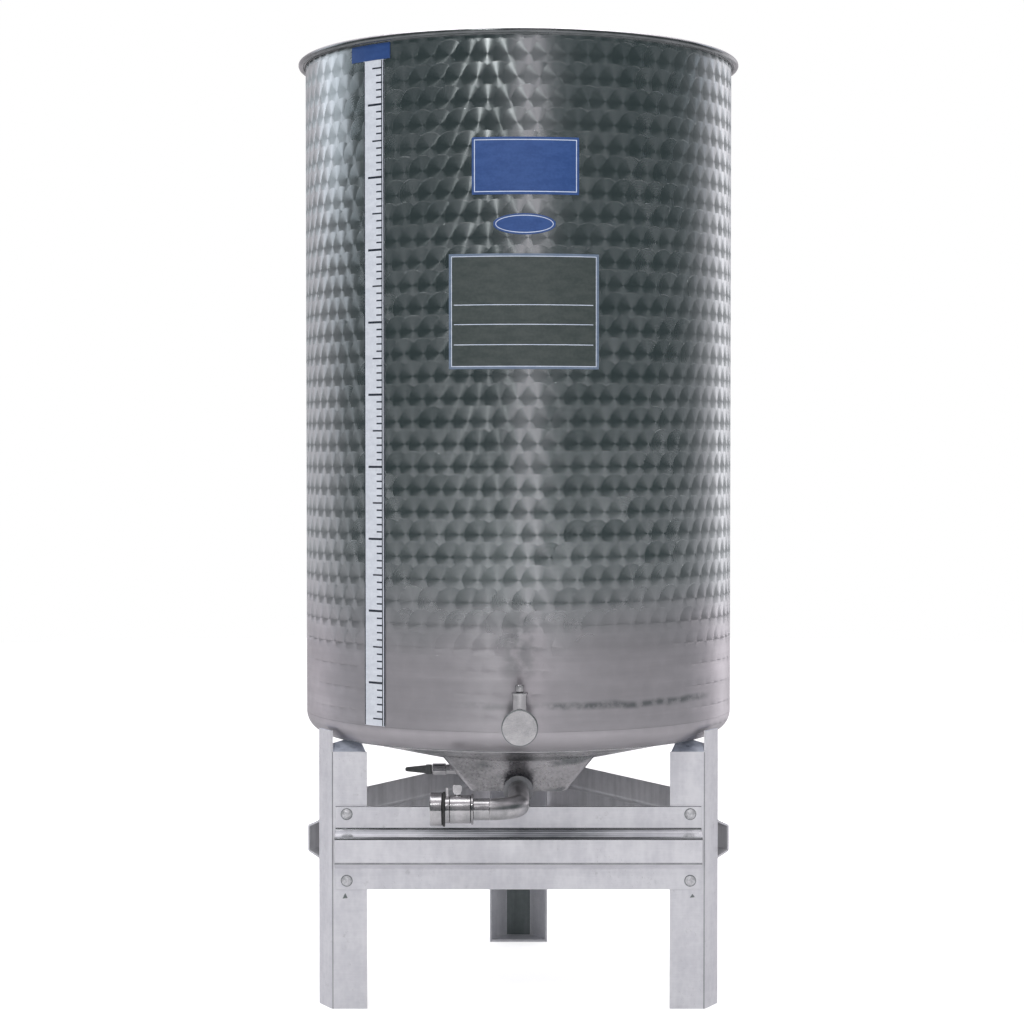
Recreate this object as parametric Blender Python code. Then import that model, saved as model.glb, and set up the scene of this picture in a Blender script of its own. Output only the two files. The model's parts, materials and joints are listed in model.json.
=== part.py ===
"""Open-topped stainless tank with a funnel bottom, standing on a folded sheet stand.

Metres, +Z up, the floor at z = 0. The tank's axis stands TANK_AXIS_Y behind the origin, so that
the origin is at the centre of the whole object's footprint. Everything below is written in the
tank's own frame, with its axis at x = y = 0 and the front towards -Y, and hangs on one empty.
"""
from math import asin, atan2, cos, pi, radians, sin, sqrt, tan

import bmesh
import bpy
from mathutils import Matrix, Vector

# Tank body
TANK_AXIS_Y = 0.020
TANK_RADIUS = 0.315
TANK_SHEET = 0.0015
SEAM_GAP = 0.0003
CIRCLE_STEPS = 96
SHELL_SEGMENTS = 12
SHELL_FIRST_ANGLE = radians(15)

# Rolled rim
RIM_TOP = 1.366
RIM_HEIGHT = 0.0085
RIM_REACH = 0.0105
RIM_CORNER = 0.0035
RIM_CORNER_STEPS = 4

# Rounded bottom corner and shallow cone
KNUCKLE_RADIUS = 0.030
KNUCKLE_TOP = 0.4114
KNUCKLE_STEPS = 6
DISH_SLOPE = radians(13)
KNUCKLE_TURN = pi / 2 - DISH_SLOPE

# Funnel with four flat walls; its flares are metres outwards for each metre of height
FUNNEL_BOTTOM = 0.3005
FUNNEL_HALF_X = 0.070
FUNNEL_HALF_Y = 0.105
FUNNEL_FLARE_X = 0.688
FUNNEL_FLARE_Y = 0.995
FUNNEL_CORNER = 0.013
FUNNEL_CORNER_STEPS = 5
FUNNEL_SIDE_STEPS = 20
FUNNEL_FRONT_STEPS = 14
FUNNEL_BASE_SHEET = 0.002
FUNNEL_JOINT_GAP = 0.0004
FUNNEL_SOLVE_ROUNDS = 12
FUNNEL_SOLVE_HEIGHT = 0.1
FUNNEL_CUTTER_LOW = 0.25
FUNNEL_CUTTER_HIGH = 0.345

# Stuck-on strip and plates: sideways extent on the front, or angle left of the front
PLATE_THICKNESS = 0.0008
PLATE_STEP = radians(1.5)
RULER_ANGLES = (radians(-42.7), radians(-35.9))
RULER_HEIGHTS = (0.4125, 1.3337)
HEADER_ANGLES = (radians(-47.3), radians(-34.0))
HEADER_HEIGHTS = (1.334, 1.356)
LABEL_X = (-0.063, 0.082)
LABEL_HEIGHTS = (1.1417, 1.2191)
DATA_PLATE_X = (-0.0943, 0.1092)
DATA_PLATE_HEIGHTS = (0.9056, 1.0617)
OVAL_X = (-0.0346, 0.0509)
OVAL_HEIGHTS = (1.0875, 1.116)
OVAL_COLUMNS = 16
OVAL_BLUNT_END = 0.06

# Tap low on the front of the shell
TAP_X = 0.0017
TAP_Z = 0.4235
TAP_BOSS_R = 0.017
TAP_BODY_R = 0.022
TAP_BODY_BACK = -0.3400
TAP_BODY_FRONT = -0.3612
TAP_DISC_R = 0.0247
TAP_DISC_FRONT = -0.3675
TAP_NECK_Y = -0.3505
TAP_NECK_R = 0.010
TAP_NECK_BOTTOM = 0.4405
TAP_NECK_TOP = 0.467
TAP_COLLAR_R = 0.011
TAP_COLLAR_TOP = 0.470
TAP_TIP_R = 0.00585
TAP_TIP_TOP = 0.4805

# Drain: collar on the funnel, elbow over the front bar, then a valve to the left
DRAIN_Z = 0.3055
DRAIN_COLLAR_R = 0.0215
DRAIN_COLLAR_BACK = -0.100
DRAIN_COLLAR_FRONT = -0.1345
DRAIN_PIPE_R = 0.015
DRAIN_BEND = 0.039
DRAIN_RUN_Y = -0.3075
DRAIN_BEND_STEPS = 10
DRAIN_PIPE_END = -0.0612
DRAIN_FLANGE_R = 0.021
DRAIN_FLANGE_END = -0.0646
DRAIN_BODY_R = 0.0195
DRAIN_BODY_END = -0.0938
DRAIN_RING_R = 0.019
DRAIN_RING_END = -0.0999
DRAIN_GASKET_R = 0.02375
DRAIN_GASKET_END = -0.1033
DRAIN_CAP_R = 0.023
DRAIN_CAP_END = -0.1206
LUG_X = (-0.0990, -0.0955)
LUG_HALF_Y = 0.0025
LUG_HEIGHTS = (0.318, 0.335)

# Key on top of the drain valve, turning about a vertical axis
KEY_X = -0.0835
KEY_STEM_R = 0.0035
KEY_STEM_TOP = 0.330
KEY_GRIP_BOTTOM = 0.3262
KEY_SHOULDER = 0.331
KEY_TOP = 0.339
KEY_HALF_WIDTH = 0.006
KEY_HALF_ROOT = 0.004
KEY_HALF_THICKNESS = 0.003
KEY_CORNER = 0.0015

# Small valve on the funnel's left wall, towards the back, with a lever on a vertical axis
REAR_Y = 0.060
REAR_Z = 0.310
REAR_STUB_R = 0.0075
REAR_STUB_START = -0.060
REAR_STUB_END = -0.110
REAR_BODY_R = 0.009
REAR_BODY_END = -0.131
LEVER_PIVOT_X = -0.1363
LEVER_TIP_X = -0.1723
LEVER_HUB_R = 0.0048
LEVER_HUB_HALF = 0.007
LEVER_ROOT_HALF = 0.0066
LEVER_TIP_HALF = 0.003
LEVER_CORNER = 0.0015
LEVER_HALF_THICKNESS = 0.0025

# Stand: three folded legs, whose outer flange faces lie STAND_FACE from the tank's axis
STAND_FACE = 0.178
STAND_SHEET = 0.003
LEG_WEB_DISTANCE = 0.3194
LEG_FLANGE_WIDTH = 0.0506
LEG_WEB_TOP = 0.397
LEG_FLANGE_TOP = 0.367
LEG_WEB_TRIM = 0.0016
LEG_BEND_RADIUS = 0.0045
BEND_STEPS = 3
TAB_SLOPE = radians(22)
TAB_GAP = 0.0004
TAB_TWIN_GAP = 0.0008
TAB_SLIT = 0.0025
TAB_SINK = 0.001
TAB_END_TRIM = 0.0015
TAB_CORNER_CUT = 0.009
TAB_SAMPLES = 8
TAB_LONGEST = 0.06
TAB_SOLVE_ROUNDS = 40
FOOT_PLATE_HEIGHT = 0.004
FOOT_CORNER_CUT = 0.004

# Stand: three bars with one raised rib, heights measured from a bar's lower edge
BAR_SHEET = 0.003
BAR_HALF_LENGTH = 0.260
BAR_BOTTOM = 0.1715
BAR_HEIGHT = 0.1185
RIB_BASE = (0.030, 0.0855)
RIB_PANEL = (0.039, 0.0765)
RIB_DEPTH = 0.020
RIB_BEND_RADIUS = 0.004
SIDE_BAR_LIFT = 0.0065
LEG_ANGLES = {"front_left": 210, "front_right": 330, "back": 90}
BAR_ANGLES = {"front": 270, "left": 150, "right": 30}

# Looks: colour, roughness, metallic
STEEL = ((0.46, 0.46, 0.47, 1.0), 0.30, 1.0)
ZINC = ((0.55, 0.56, 0.60, 1.0), 0.45, 0.85)
WHITE = ((0.80, 0.82, 0.86, 1.0), 0.45, 0.0)
BLUE = ((0.05, 0.14, 0.45, 1.0), 0.40, 0.0)
DARK_GREY = ((0.07, 0.08, 0.08, 1.0), 0.45, 0.0)
RUBBER = ((0.02, 0.02, 0.02, 1.0), 0.60, 0.0)
SMOOTH_LIMIT = radians(30)
FRONT = -pi / 2


def clear_scene():
    for old in list(bpy.data.objects):
        bpy.data.objects.remove(old, do_unlink=True)


def make_material(name, look):
    colour, roughness, metallic = look
    material = bpy.data.materials.new(name)
    material.use_nodes = True
    shader = material.node_tree.nodes["Principled BSDF"]
    shader.inputs["Base Color"].default_value = colour
    shader.inputs["Roughness"].default_value = roughness
    shader.inputs["Metallic"].default_value = metallic
    return material


def add_object(name, bm, look, root):
    """Turn a closed bmesh into an object with its own material, under the given empty."""
    bmesh.ops.recalc_face_normals(bm, faces=bm.faces)
    mesh = bpy.data.meshes.new(name)
    bm.to_mesh(mesh)
    bm.free()
    mesh.shade_smooth()
    mesh.set_sharp_from_angle(angle=SMOOTH_LIMIT)
    mesh.materials.append(make_material(name + "_finish", look))
    thing = bpy.data.objects.new(name, mesh)
    bpy.context.scene.collection.objects.link(thing)
    thing.parent = root
    return thing


def combine(target, tool, operation):
    """Join a tool to a piece, or cut it away, and keep the tool itself out of the result."""
    tool.hide_render = True
    tool.display_type = "WIRE"
    modifier = target.modifiers.new(tool.name, "BOOLEAN")
    modifier.operation = operation
    modifier.solver = "EXACT"
    modifier.object = tool


def skin_loops(loops, closed):
    """Join loops of points one after another. An open run gets a face at each end."""
    bm = bmesh.new()
    rows = [[bm.verts.new(point) for point in loop] for loop in loops]
    pairs = list(zip(rows, rows[1:]))
    if closed:
        pairs.append((rows[-1], rows[0]))
    count = len(rows[0])
    for near, far in pairs:
        for k in range(count):
            after = (k + 1) % count
            bm.faces.new((near[k], near[after], far[after], far[k]))
    if not closed:
        bm.faces.new(rows[0])
        bm.faces.new(rows[-1])
    return bm


def at_angle(radius, angle, z):
    return Vector((radius * cos(angle), radius * sin(angle), z))


def extrude_outline(outline, low, high):
    """A flat (x, y) outline, thickened between two heights."""
    return skin_loops([[(x, y, z) for x, y in outline] for z in (low, high)], False)


def spin_profile(profile, start, end, steps):
    """A closed (radius, z) outline turned about the Z axis through part of a circle."""
    angles = [start + (end - start) * step / steps for step in range(steps + 1)]
    return skin_loops([[at_angle(r, angle, z) for r, z in profile] for angle in angles], False)


def full_ring(profile):
    """A closed (radius, z) outline turned all the way round."""
    turns = [SHELL_FIRST_ANGLE + 2 * pi * step / CIRCLE_STEPS for step in range(CIRCLE_STEPS)]
    return skin_loops([[at_angle(r, turn, z) for r, z in profile] for turn in turns], True)


def turn_profile(profile, sides):
    """A solid turned about Z from an open (radius, z) outline."""
    turns = [2 * pi * side / sides for side in range(sides)]
    return skin_loops([[at_angle(r, turn, z) for turn in turns] for r, z in profile], False)


def arc_points(centre, radius, start, end, steps):
    """Points on an arc in the plane, both ends included."""
    angles = [start + (end - start) * step / steps for step in range(steps + 1)]
    return [Vector((centre[0] + radius * cos(a), centre[1] + radius * sin(a))) for a in angles]


def rounded_path(corners, radius, steps):
    """An open path whose inner corners are replaced by arcs."""
    path = [Vector(corners[0])]
    for before, corner, after in zip(corners, corners[1:], corners[2:]):
        corner = Vector(corner)
        back = (Vector(before) - corner).normalized()
        ahead = (Vector(after) - corner).normalized()
        half = back.angle(ahead) / 2
        centre = corner + (back + ahead).normalized() * radius / sin(half)
        first = corner + back * radius / tan(half) - centre
        last = corner + ahead * radius / tan(half) - centre
        start = atan2(first.y, first.x)
        sweep = (atan2(last.y, last.x) - start + pi) % (2 * pi) - pi
        path += arc_points(centre, radius, start, start + sweep, steps)
    path.append(Vector(corners[-1]))
    return path


def sheet_outline(path, thickness):
    """The outline of a sheet: one face follows the path, the other lies to its left."""
    left_side = []
    for index, point in enumerate(path):
        arriving = (point - path[index - 1]).normalized() if index else None
        leaving = (path[index + 1] - point).normalized() if index + 1 < len(path) else None
        first = arriving or leaving
        run = (first + (leaving or arriving)).normalized()
        left = Vector((-run.y, run.x))
        left_side.append(point + left * thickness / run.dot(first))
    return [tuple(point) for point in path + left_side[::-1]]


def knuckle_point(turn, radius=KNUCKLE_RADIUS):
    """A point of the rounded corner, turned down by an angle from the upright wall."""
    centre_r = TANK_RADIUS - KNUCKLE_RADIUS
    return centre_r + radius * cos(turn), KNUCKLE_TOP - radius * sin(turn)


def dish_height(radius):
    """Height of the shallow cone's underside at a distance from the axis."""
    edge_r, edge_z = knuckle_point(KNUCKLE_TURN)
    return edge_z - (edge_r - radius) * tan(DISH_SLOPE)


def build_shell(root):
    inner = TANK_RADIUS - TANK_SHEET
    low = KNUCKLE_TOP + SEAM_GAP
    high = RIM_TOP - RIM_HEIGHT - SEAM_GAP
    profile = [(TANK_RADIUS, low), (TANK_RADIUS, high), (inner, high), (inner, low)]
    arc = 2 * pi / SHELL_SEGMENTS
    half_slit = SEAM_GAP / TANK_RADIUS / 2
    steps = CIRCLE_STEPS // SHELL_SEGMENTS
    for index in range(SHELL_SEGMENTS):
        start = SHELL_FIRST_ANGLE + arc * index
        bm = spin_profile(profile, start + half_slit, start + arc - half_slit, steps)
        add_object(f"shell_{index + 1:02d}", bm, STEEL, root)


def build_rim(root):
    inner = TANK_RADIUS - TANK_SHEET
    outer = TANK_RADIUS + RIM_REACH
    low = RIM_TOP - RIM_HEIGHT
    corners = [(inner, low), (outer, low), (outer, RIM_TOP), (inner, RIM_TOP)]
    add_object("rim", full_ring(rounded_path(corners, RIM_CORNER, RIM_CORNER_STEPS)), STEEL, root)


def build_knuckle(root):
    turns = [KNUCKLE_TURN * step / KNUCKLE_STEPS for step in range(KNUCKLE_STEPS + 1)]
    outer = [knuckle_point(turn) for turn in turns]
    inner = [knuckle_point(turn, KNUCKLE_RADIUS - TANK_SHEET) for turn in turns]
    add_object("bottom_knuckle", full_ring(outer + inner[::-1]), STEEL, root)


def rounded_rectangle(half_x, half_y, corner):
    """Points round a rectangle with rounded corners, counter-clockwise."""
    signs = ((1, 1), (-1, 1), (-1, -1), (1, -1))
    arcs = []
    for quarter, (sign_x, sign_y) in enumerate(signs):
        centre = (sign_x * (half_x - corner), sign_y * (half_y - corner))
        start = quarter * pi / 2
        arcs.append(arc_points(centre, corner, start, start + pi / 2, FUNNEL_CORNER_STEPS))
    points = []
    for quarter, arc in enumerate(arcs):
        steps = FUNNEL_SIDE_STEPS if quarter % 2 else FUNNEL_FRONT_STEPS
        target = arcs[(quarter + 1) % len(arcs)][0]
        points += arc
        points += [arc[-1].lerp(target, step / steps) for step in range(1, steps)]
    return points


def funnel_loop(z, inset):
    """The funnel's outline at a height, moved inwards square to its walls."""
    rise = max(z - FUNNEL_BOTTOM, 0.0)
    half_x = FUNNEL_HALF_X + FUNNEL_FLARE_X * rise - inset * sqrt(1 + FUNNEL_FLARE_X ** 2)
    half_y = FUNNEL_HALF_Y + FUNNEL_FLARE_Y * rise - inset * sqrt(1 + FUNNEL_FLARE_Y ** 2)
    return [Vector((p.x, p.y, z)) for p in rounded_rectangle(half_x, half_y, FUNNEL_CORNER - inset)]


def funnel_meets_cone(inset, lift):
    """The loop where the funnel's walls meet the cone raised by lift."""
    low = funnel_loop(FUNNEL_BOTTOM, inset)
    high = funnel_loop(FUNNEL_BOTTOM + FUNNEL_SOLVE_HEIGHT, inset)
    loop = []
    for start, end in zip(low, high):
        point = start
        for _ in range(FUNNEL_SOLVE_ROUNDS):
            z = dish_height(point.xy.length) + lift
            point = start.lerp(end, (z - FUNNEL_BOTTOM) / FUNNEL_SOLVE_HEIGHT)
        loop.append(point)
    return loop


def build_dish_and_funnel(root):
    upper_lift = TANK_SHEET / cos(DISH_SLOPE)
    lower_inner = funnel_meets_cone(0.0, 0.0)
    upper_inner = funnel_meets_cone(TANK_SHEET, upper_lift)
    edge_r = knuckle_point(KNUCKLE_TURN)[0] - SEAM_GAP
    edge_z = dish_height(edge_r)
    upper_r = edge_r - TANK_SHEET * sin(DISH_SLOPE)
    upper_z = edge_z + TANK_SHEET * cos(DISH_SLOPE)
    bearings = [atan2(point.y, point.x) for point in lower_inner]
    lower_outer = [at_angle(edge_r, bearing, edge_z) for bearing in bearings]
    upper_outer = [at_angle(upper_r, bearing, upper_z) for bearing in bearings]
    dish = skin_loops([lower_outer, lower_inner, upper_inner, upper_outer], True)
    add_object("bottom_dish", dish, STEEL, root)

    loops = [
        funnel_meets_cone(0.0, -FUNNEL_JOINT_GAP),
        funnel_loop(FUNNEL_BOTTOM, 0.0),
        funnel_loop(FUNNEL_BOTTOM, TANK_SHEET),
        funnel_meets_cone(TANK_SHEET, upper_lift - FUNNEL_JOINT_GAP),
    ]
    add_object("funnel", skin_loops(loops, True), STEEL, root)

    outline = [point.xy for point in funnel_loop(FUNNEL_BOTTOM, TANK_SHEET + SEAM_GAP)]
    base = extrude_outline(outline, FUNNEL_BOTTOM, FUNNEL_BOTTOM + FUNNEL_BASE_SHEET)
    add_object("funnel_base", base, STEEL, root)


def funnel_cutter(name, root):
    """The funnel's outer shape, one seam gap larger and carried on straight down."""
    heights = (FUNNEL_CUTTER_LOW, FUNNEL_BOTTOM, FUNNEL_CUTTER_HIGH)
    loops = [funnel_loop(height, -SEAM_GAP) for height in heights]
    return add_object(name, skin_loops(loops, False), STEEL, root)


def wrap_plate(name, columns, look, root):
    """A thin plate bent round the shell from (angle, low, high) columns."""
    near = TANK_RADIUS + SEAM_GAP
    far = near + PLATE_THICKNESS
    loops = []
    for angle, low, high in columns:
        corners = ((near, low), (near, high), (far, high), (far, low))
        loops.append([at_angle(radius, angle, z) for radius, z in corners])
    add_object(name, skin_loops(loops, False), look, root)


def front_angles(extent):
    """Angles of the shell's front at two sideways distances from its middle."""
    return [FRONT + asin(x / TANK_RADIUS) for x in extent]


def even_columns(angles, heights):
    steps = max(2, round((angles[1] - angles[0]) / PLATE_STEP))
    run = angles[1] - angles[0]
    return [(angles[0] + run * step / steps, *heights) for step in range(steps + 1)]


def oval_columns(angles, heights):
    middle = (angles[0] + angles[1]) / 2
    half_turn = (angles[1] - angles[0]) / 2
    centre = (heights[0] + heights[1]) / 2
    half_height = (heights[1] - heights[0]) / 2
    columns = []
    for step in range(OVAL_COLUMNS + 1):
        share = OVAL_BLUNT_END + (1 - 2 * OVAL_BLUNT_END) * step / OVAL_COLUMNS
        lift = half_height * sin(pi * share)
        columns.append((middle - half_turn * cos(pi * share), centre - lift, centre + lift))
    return columns


def build_plates(root):
    ruler = [FRONT + angle for angle in RULER_ANGLES]
    header = [FRONT + angle for angle in HEADER_ANGLES]
    wrap_plate("ruler_strip", even_columns(ruler, RULER_HEIGHTS), WHITE, root)
    wrap_plate("ruler_header", even_columns(header, HEADER_HEIGHTS), BLUE, root)
    label = even_columns(front_angles(LABEL_X), LABEL_HEIGHTS)
    wrap_plate("label_rectangle", label, BLUE, root)
    wrap_plate("label_oval", oval_columns(front_angles(OVAL_X), OVAL_HEIGHTS), BLUE, root)
    plate = even_columns(front_angles(DATA_PLATE_X), DATA_PLATE_HEIGHTS)
    wrap_plate("data_plate", plate, DARK_GREY, root)


def rod(name, radius, length, chamfer, look, root, sides=32):
    """A turned rod standing on its origin, with chamfered ends if asked."""
    profile = [(radius, 0.0), (radius, length)]
    if chamfer:
        profile = [(radius - chamfer, 0.0), (radius, chamfer),
                   (radius, length - chamfer), (radius - chamfer, length)]
    return add_object(name, turn_profile(profile, sides), look, root)


def rod_forward(name, radius, x, z, back, front, chamfer, root, sides=40):
    """A rod lying along the front-to-back line, between two depths."""
    piece = rod(name, radius, back - front, chamfer, STEEL, root, sides)
    piece.location = (x, back, z)
    piece.rotation_euler.x = pi / 2
    return piece


def rod_leftward(name, radius, start, end, y, z, chamfer, look, root):
    """A rod lying across, from start leftwards to end."""
    piece = rod(name, radius, start - end, chamfer, look, root)
    piece.location = (start, y, z)
    piece.rotation_euler.y = -pi / 2
    return piece


def build_tap(root):
    wall = -(TANK_RADIUS + SEAM_GAP)
    rod_forward("tap_boss", TAP_BOSS_R, TAP_X, TAP_Z, wall, TAP_BODY_BACK + SEAM_GAP, 0, root)
    rod_forward("tap_body", TAP_BODY_R, TAP_X, TAP_Z, TAP_BODY_BACK, TAP_BODY_FRONT, 0.001, root)
    rod_forward("tap_disc", TAP_DISC_R, TAP_X, TAP_Z, TAP_BODY_FRONT - SEAM_GAP, TAP_DISC_FRONT,
                0.0012, root, 48)

    profile = [(TAP_NECK_R, TAP_NECK_BOTTOM), (TAP_NECK_R, TAP_NECK_TOP),
               (TAP_COLLAR_R, TAP_NECK_TOP), (TAP_COLLAR_R, TAP_COLLAR_TOP)]
    neck = add_object("tap_neck", turn_profile(profile, 32), STEEL, root)
    neck.location = (TAP_X, TAP_NECK_Y, 0.0)
    saddle = rod_forward("tap_neck_cutter", TAP_BODY_R + SEAM_GAP, TAP_X, TAP_Z,
                         TAP_BODY_BACK + 0.01, TAP_BODY_FRONT - 0.01, 0, root)
    combine(neck, saddle, "DIFFERENCE")

    tip_bottom = TAP_COLLAR_TOP + SEAM_GAP
    tip = rod("tap_tip", TAP_TIP_R, TAP_TIP_TOP - tip_bottom, 0.0008, STEEL, root)
    tip.location = (TAP_X, TAP_NECK_Y, tip_bottom)


def build_elbow(root):
    """Straight run forwards over the front bar, then a quarter turn to the left."""
    bend_y = DRAIN_RUN_Y + DRAIN_BEND
    stations = [(Vector((0.0, DRAIN_COLLAR_FRONT - SEAM_GAP)), FRONT)]
    for step in range(DRAIN_BEND_STEPS + 1):
        turn = -pi / 2 * step / DRAIN_BEND_STEPS
        spot = Vector((-DRAIN_BEND + DRAIN_BEND * cos(turn), bend_y + DRAIN_BEND * sin(turn)))
        stations.append((spot, turn + FRONT))
    sides = 32
    loops = []
    for spot, heading in stations:
        across = Vector((-sin(heading), cos(heading)))
        loop = []
        for side in range(sides):
            angle = 2 * pi * side / sides
            place = spot + across * DRAIN_PIPE_R * cos(angle)
            loop.append((place.x, place.y, DRAIN_Z + DRAIN_PIPE_R * sin(angle)))
        loops.append(loop)
    add_object("drain_elbow", skin_loops(loops, False), STEEL, root)


def build_drain(root):
    collar = rod_forward("drain_collar", DRAIN_COLLAR_R, 0.0, DRAIN_Z, DRAIN_COLLAR_BACK,
                         DRAIN_COLLAR_FRONT, 0, root)
    combine(collar, funnel_cutter("drain_collar_cutter", root), "DIFFERENCE")
    build_elbow(root)

    pieces = (
        ("drain_pipe", DRAIN_PIPE_R, DRAIN_PIPE_END, 0, STEEL),
        ("drain_flange_ring", DRAIN_FLANGE_R, DRAIN_FLANGE_END, 0.0008, STEEL),
        ("drain_valve_body", DRAIN_BODY_R, DRAIN_BODY_END, 0.0008, STEEL),
        ("drain_thin_ring", DRAIN_RING_R, DRAIN_RING_END, 0, STEEL),
        ("drain_gasket", DRAIN_GASKET_R, DRAIN_GASKET_END, 0, RUBBER),
        ("drain_end_cap", DRAIN_CAP_R, DRAIN_CAP_END, 0.0012, STEEL),
    )
    start = -DRAIN_BEND - SEAM_GAP
    made = {}
    for name, radius, end, chamfer, look in pieces:
        made[name] = rod_leftward(name, radius, start, end, DRAIN_RUN_Y, DRAIN_Z, chamfer, look, root)
        start = end - SEAM_GAP
    lug_outline = [
        (LUG_X[0], DRAIN_RUN_Y - LUG_HALF_Y), (LUG_X[1], DRAIN_RUN_Y - LUG_HALF_Y),
        (LUG_X[1], DRAIN_RUN_Y + LUG_HALF_Y), (LUG_X[0], DRAIN_RUN_Y + LUG_HALF_Y),
    ]
    lug = add_object("drain_lug_tool", extrude_outline(lug_outline, *LUG_HEIGHTS), STEEL, root)
    combine(made["drain_thin_ring"], lug, "UNION")
    build_key(root)


def upright_plate(outline, half_thickness):
    """An (x, z) outline thickened front to back about y = 0."""
    bm = extrude_outline(outline, -half_thickness, half_thickness)
    bmesh.ops.rotate(bm, verts=bm.verts, matrix=Matrix.Rotation(pi / 2, 3, "X"))
    return bm


def build_key(root):
    """The key's origin is on its turning axis, just above the valve body."""
    base = DRAIN_Z + DRAIN_BODY_R + SEAM_GAP
    grip = KEY_GRIP_BOTTOM - base
    shoulder = KEY_SHOULDER - base
    top = KEY_TOP - base
    right = [(KEY_HALF_ROOT, grip), (KEY_HALF_WIDTH, shoulder),
             (KEY_HALF_WIDTH, top - KEY_CORNER), (KEY_HALF_WIDTH - KEY_CORNER, top)]
    outline = right + [(-x, z) for x, z in reversed(right)]
    key = add_object("drain_key", upright_plate(outline, KEY_HALF_THICKNESS), STEEL, root)
    stem = rod("drain_key_tool", KEY_STEM_R, KEY_STEM_TOP - base, 0, STEEL, root, 24)
    for piece in (key, stem):
        piece.location = (KEY_X, DRAIN_RUN_Y, base)
    combine(key, stem, "UNION")


def build_rear_valve(root):
    stub = rod_leftward("rear_valve_stub", REAR_STUB_R, REAR_STUB_START, REAR_STUB_END,
                        REAR_Y, REAR_Z, 0, STEEL, root)
    combine(stub, funnel_cutter("rear_stub_cutter", root), "DIFFERENCE")
    rod_leftward("rear_valve_body", REAR_BODY_R, REAR_STUB_END - SEAM_GAP, REAR_BODY_END,
                 REAR_Y, REAR_Z, 0.0008, STEEL, root)

    reach = LEVER_PIVOT_X - LEVER_TIP_X
    upper = [(0.0, LEVER_ROOT_HALF), (-reach + LEVER_CORNER, LEVER_TIP_HALF),
             (-reach, LEVER_TIP_HALF - LEVER_CORNER)]
    outline = upper + [(x, -z) for x, z in reversed(upper)]
    lever = add_object("rear_lever", upright_plate(outline, LEVER_HALF_THICKNESS), DARK_GREY, root)
    lever.location = (LEVER_PIVOT_X, REAR_Y, REAR_Z)
    hub = rod("rear_lever_tool", LEVER_HUB_R, 2 * LEVER_HUB_HALF, 0, DARK_GREY, root, 24)
    hub.location = (LEVER_PIVOT_X, REAR_Y, REAR_Z - LEVER_HUB_HALF)
    combine(lever, hub, "UNION")


def leg_fold_half():
    """Half the web's width: where the web's plane meets a flange's plane."""
    return (STAND_FACE - LEG_WEB_DISTANCE * cos(pi / 3)) / sin(pi / 3)


def flange_point(along, inward):
    """A point by one flange, in the leg's frame: along it from the fold, and inwards."""
    run = Vector((-sin(pi / 3), cos(pi / 3)))
    normal = Vector((cos(pi / 3), sin(pi / 3)))
    fold = Vector((LEG_WEB_DISTANCE, leg_fold_half()))
    return fold + run * along - normal * inward


def tab_height(inward):
    return LEG_FLANGE_TOP + inward * tan(TAB_SLOPE)


def tab_reach(along):
    """How far a tab runs inwards before it meets the cone, or its mirrored twin."""
    low = 0.0
    high = TAB_LONGEST
    for _ in range(TAB_SOLVE_ROUNDS):
        middle = (low + high) / 2
        radius = flange_point(along, middle).length
        if tab_height(middle) + TAB_GAP < dish_height(radius):
            low = middle
        else:
            high = middle
    to_twin = (leg_fold_half() + along * cos(pi / 3) - TAB_TWIN_GAP) / sin(pi / 3)
    return min(low, to_twin)


def tab_solid(side):
    """A tab bent in over one flange; side is 1 or -1."""
    last = LEG_FLANGE_WIDTH - TAB_CORNER_CUT
    spots = [(TAB_SLIT, TAB_SINK), (LEG_FLANGE_WIDTH - TAB_END_TRIM, TAB_SINK)]
    for step in range(TAB_SAMPLES + 1):
        along = last + (TAB_SLIT - last) * step / TAB_SAMPLES
        spots.append((along, tab_reach(along)))
    loops = []
    for drop in (0.0, STAND_SHEET / cos(TAB_SLOPE)):
        loop = []
        for along, inward in spots:
            point = flange_point(along, inward)
            loop.append((point.x, side * point.y, tab_height(inward) - drop))
        loops.append(loop)
    return skin_loops(loops, False)


def build_leg(place, angle, root):
    """Web and two flanges in one sheet; above the flanges the web goes on alone."""
    half = leg_fold_half()
    end = flange_point(LEG_FLANGE_WIDTH, 0.0)
    corners = [(end.x, -end.y), (LEG_WEB_DISTANCE, -half), (LEG_WEB_DISTANCE, half), (end.x, end.y)]
    outline = sheet_outline(rounded_path(corners, LEG_BEND_RADIUS, BEND_STEPS), STAND_SHEET)
    leg = add_object(f"leg_{place}", extrude_outline(outline, 0.0, LEG_WEB_TOP), ZINC, root)
    pieces = [leg]
    for side in (1, -1):
        near = side * (half - LEG_WEB_TRIM)
        far = side * (end.y + 0.01)
        back = end.x - 0.01
        front = LEG_WEB_DISTANCE + 0.01
        trim = [(back, near), (front, near), (front, far), (back, far)]
        cutter = add_object(f"leg_{place}_trim_cutter",
                            extrude_outline(trim, LEG_FLANGE_TOP, LEG_WEB_TOP + 0.01), ZINC, root)
        combine(leg, cutter, "DIFFERENCE")
        pieces.append(cutter)
    for side in (1, -1):
        tab = add_object(f"leg_{place}_tab_tool", tab_solid(side), ZINC, root)
        combine(leg, tab, "UNION")
        pieces.append(tab)
    for piece in pieces:
        piece.rotation_euler.z = radians(angle)


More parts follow.
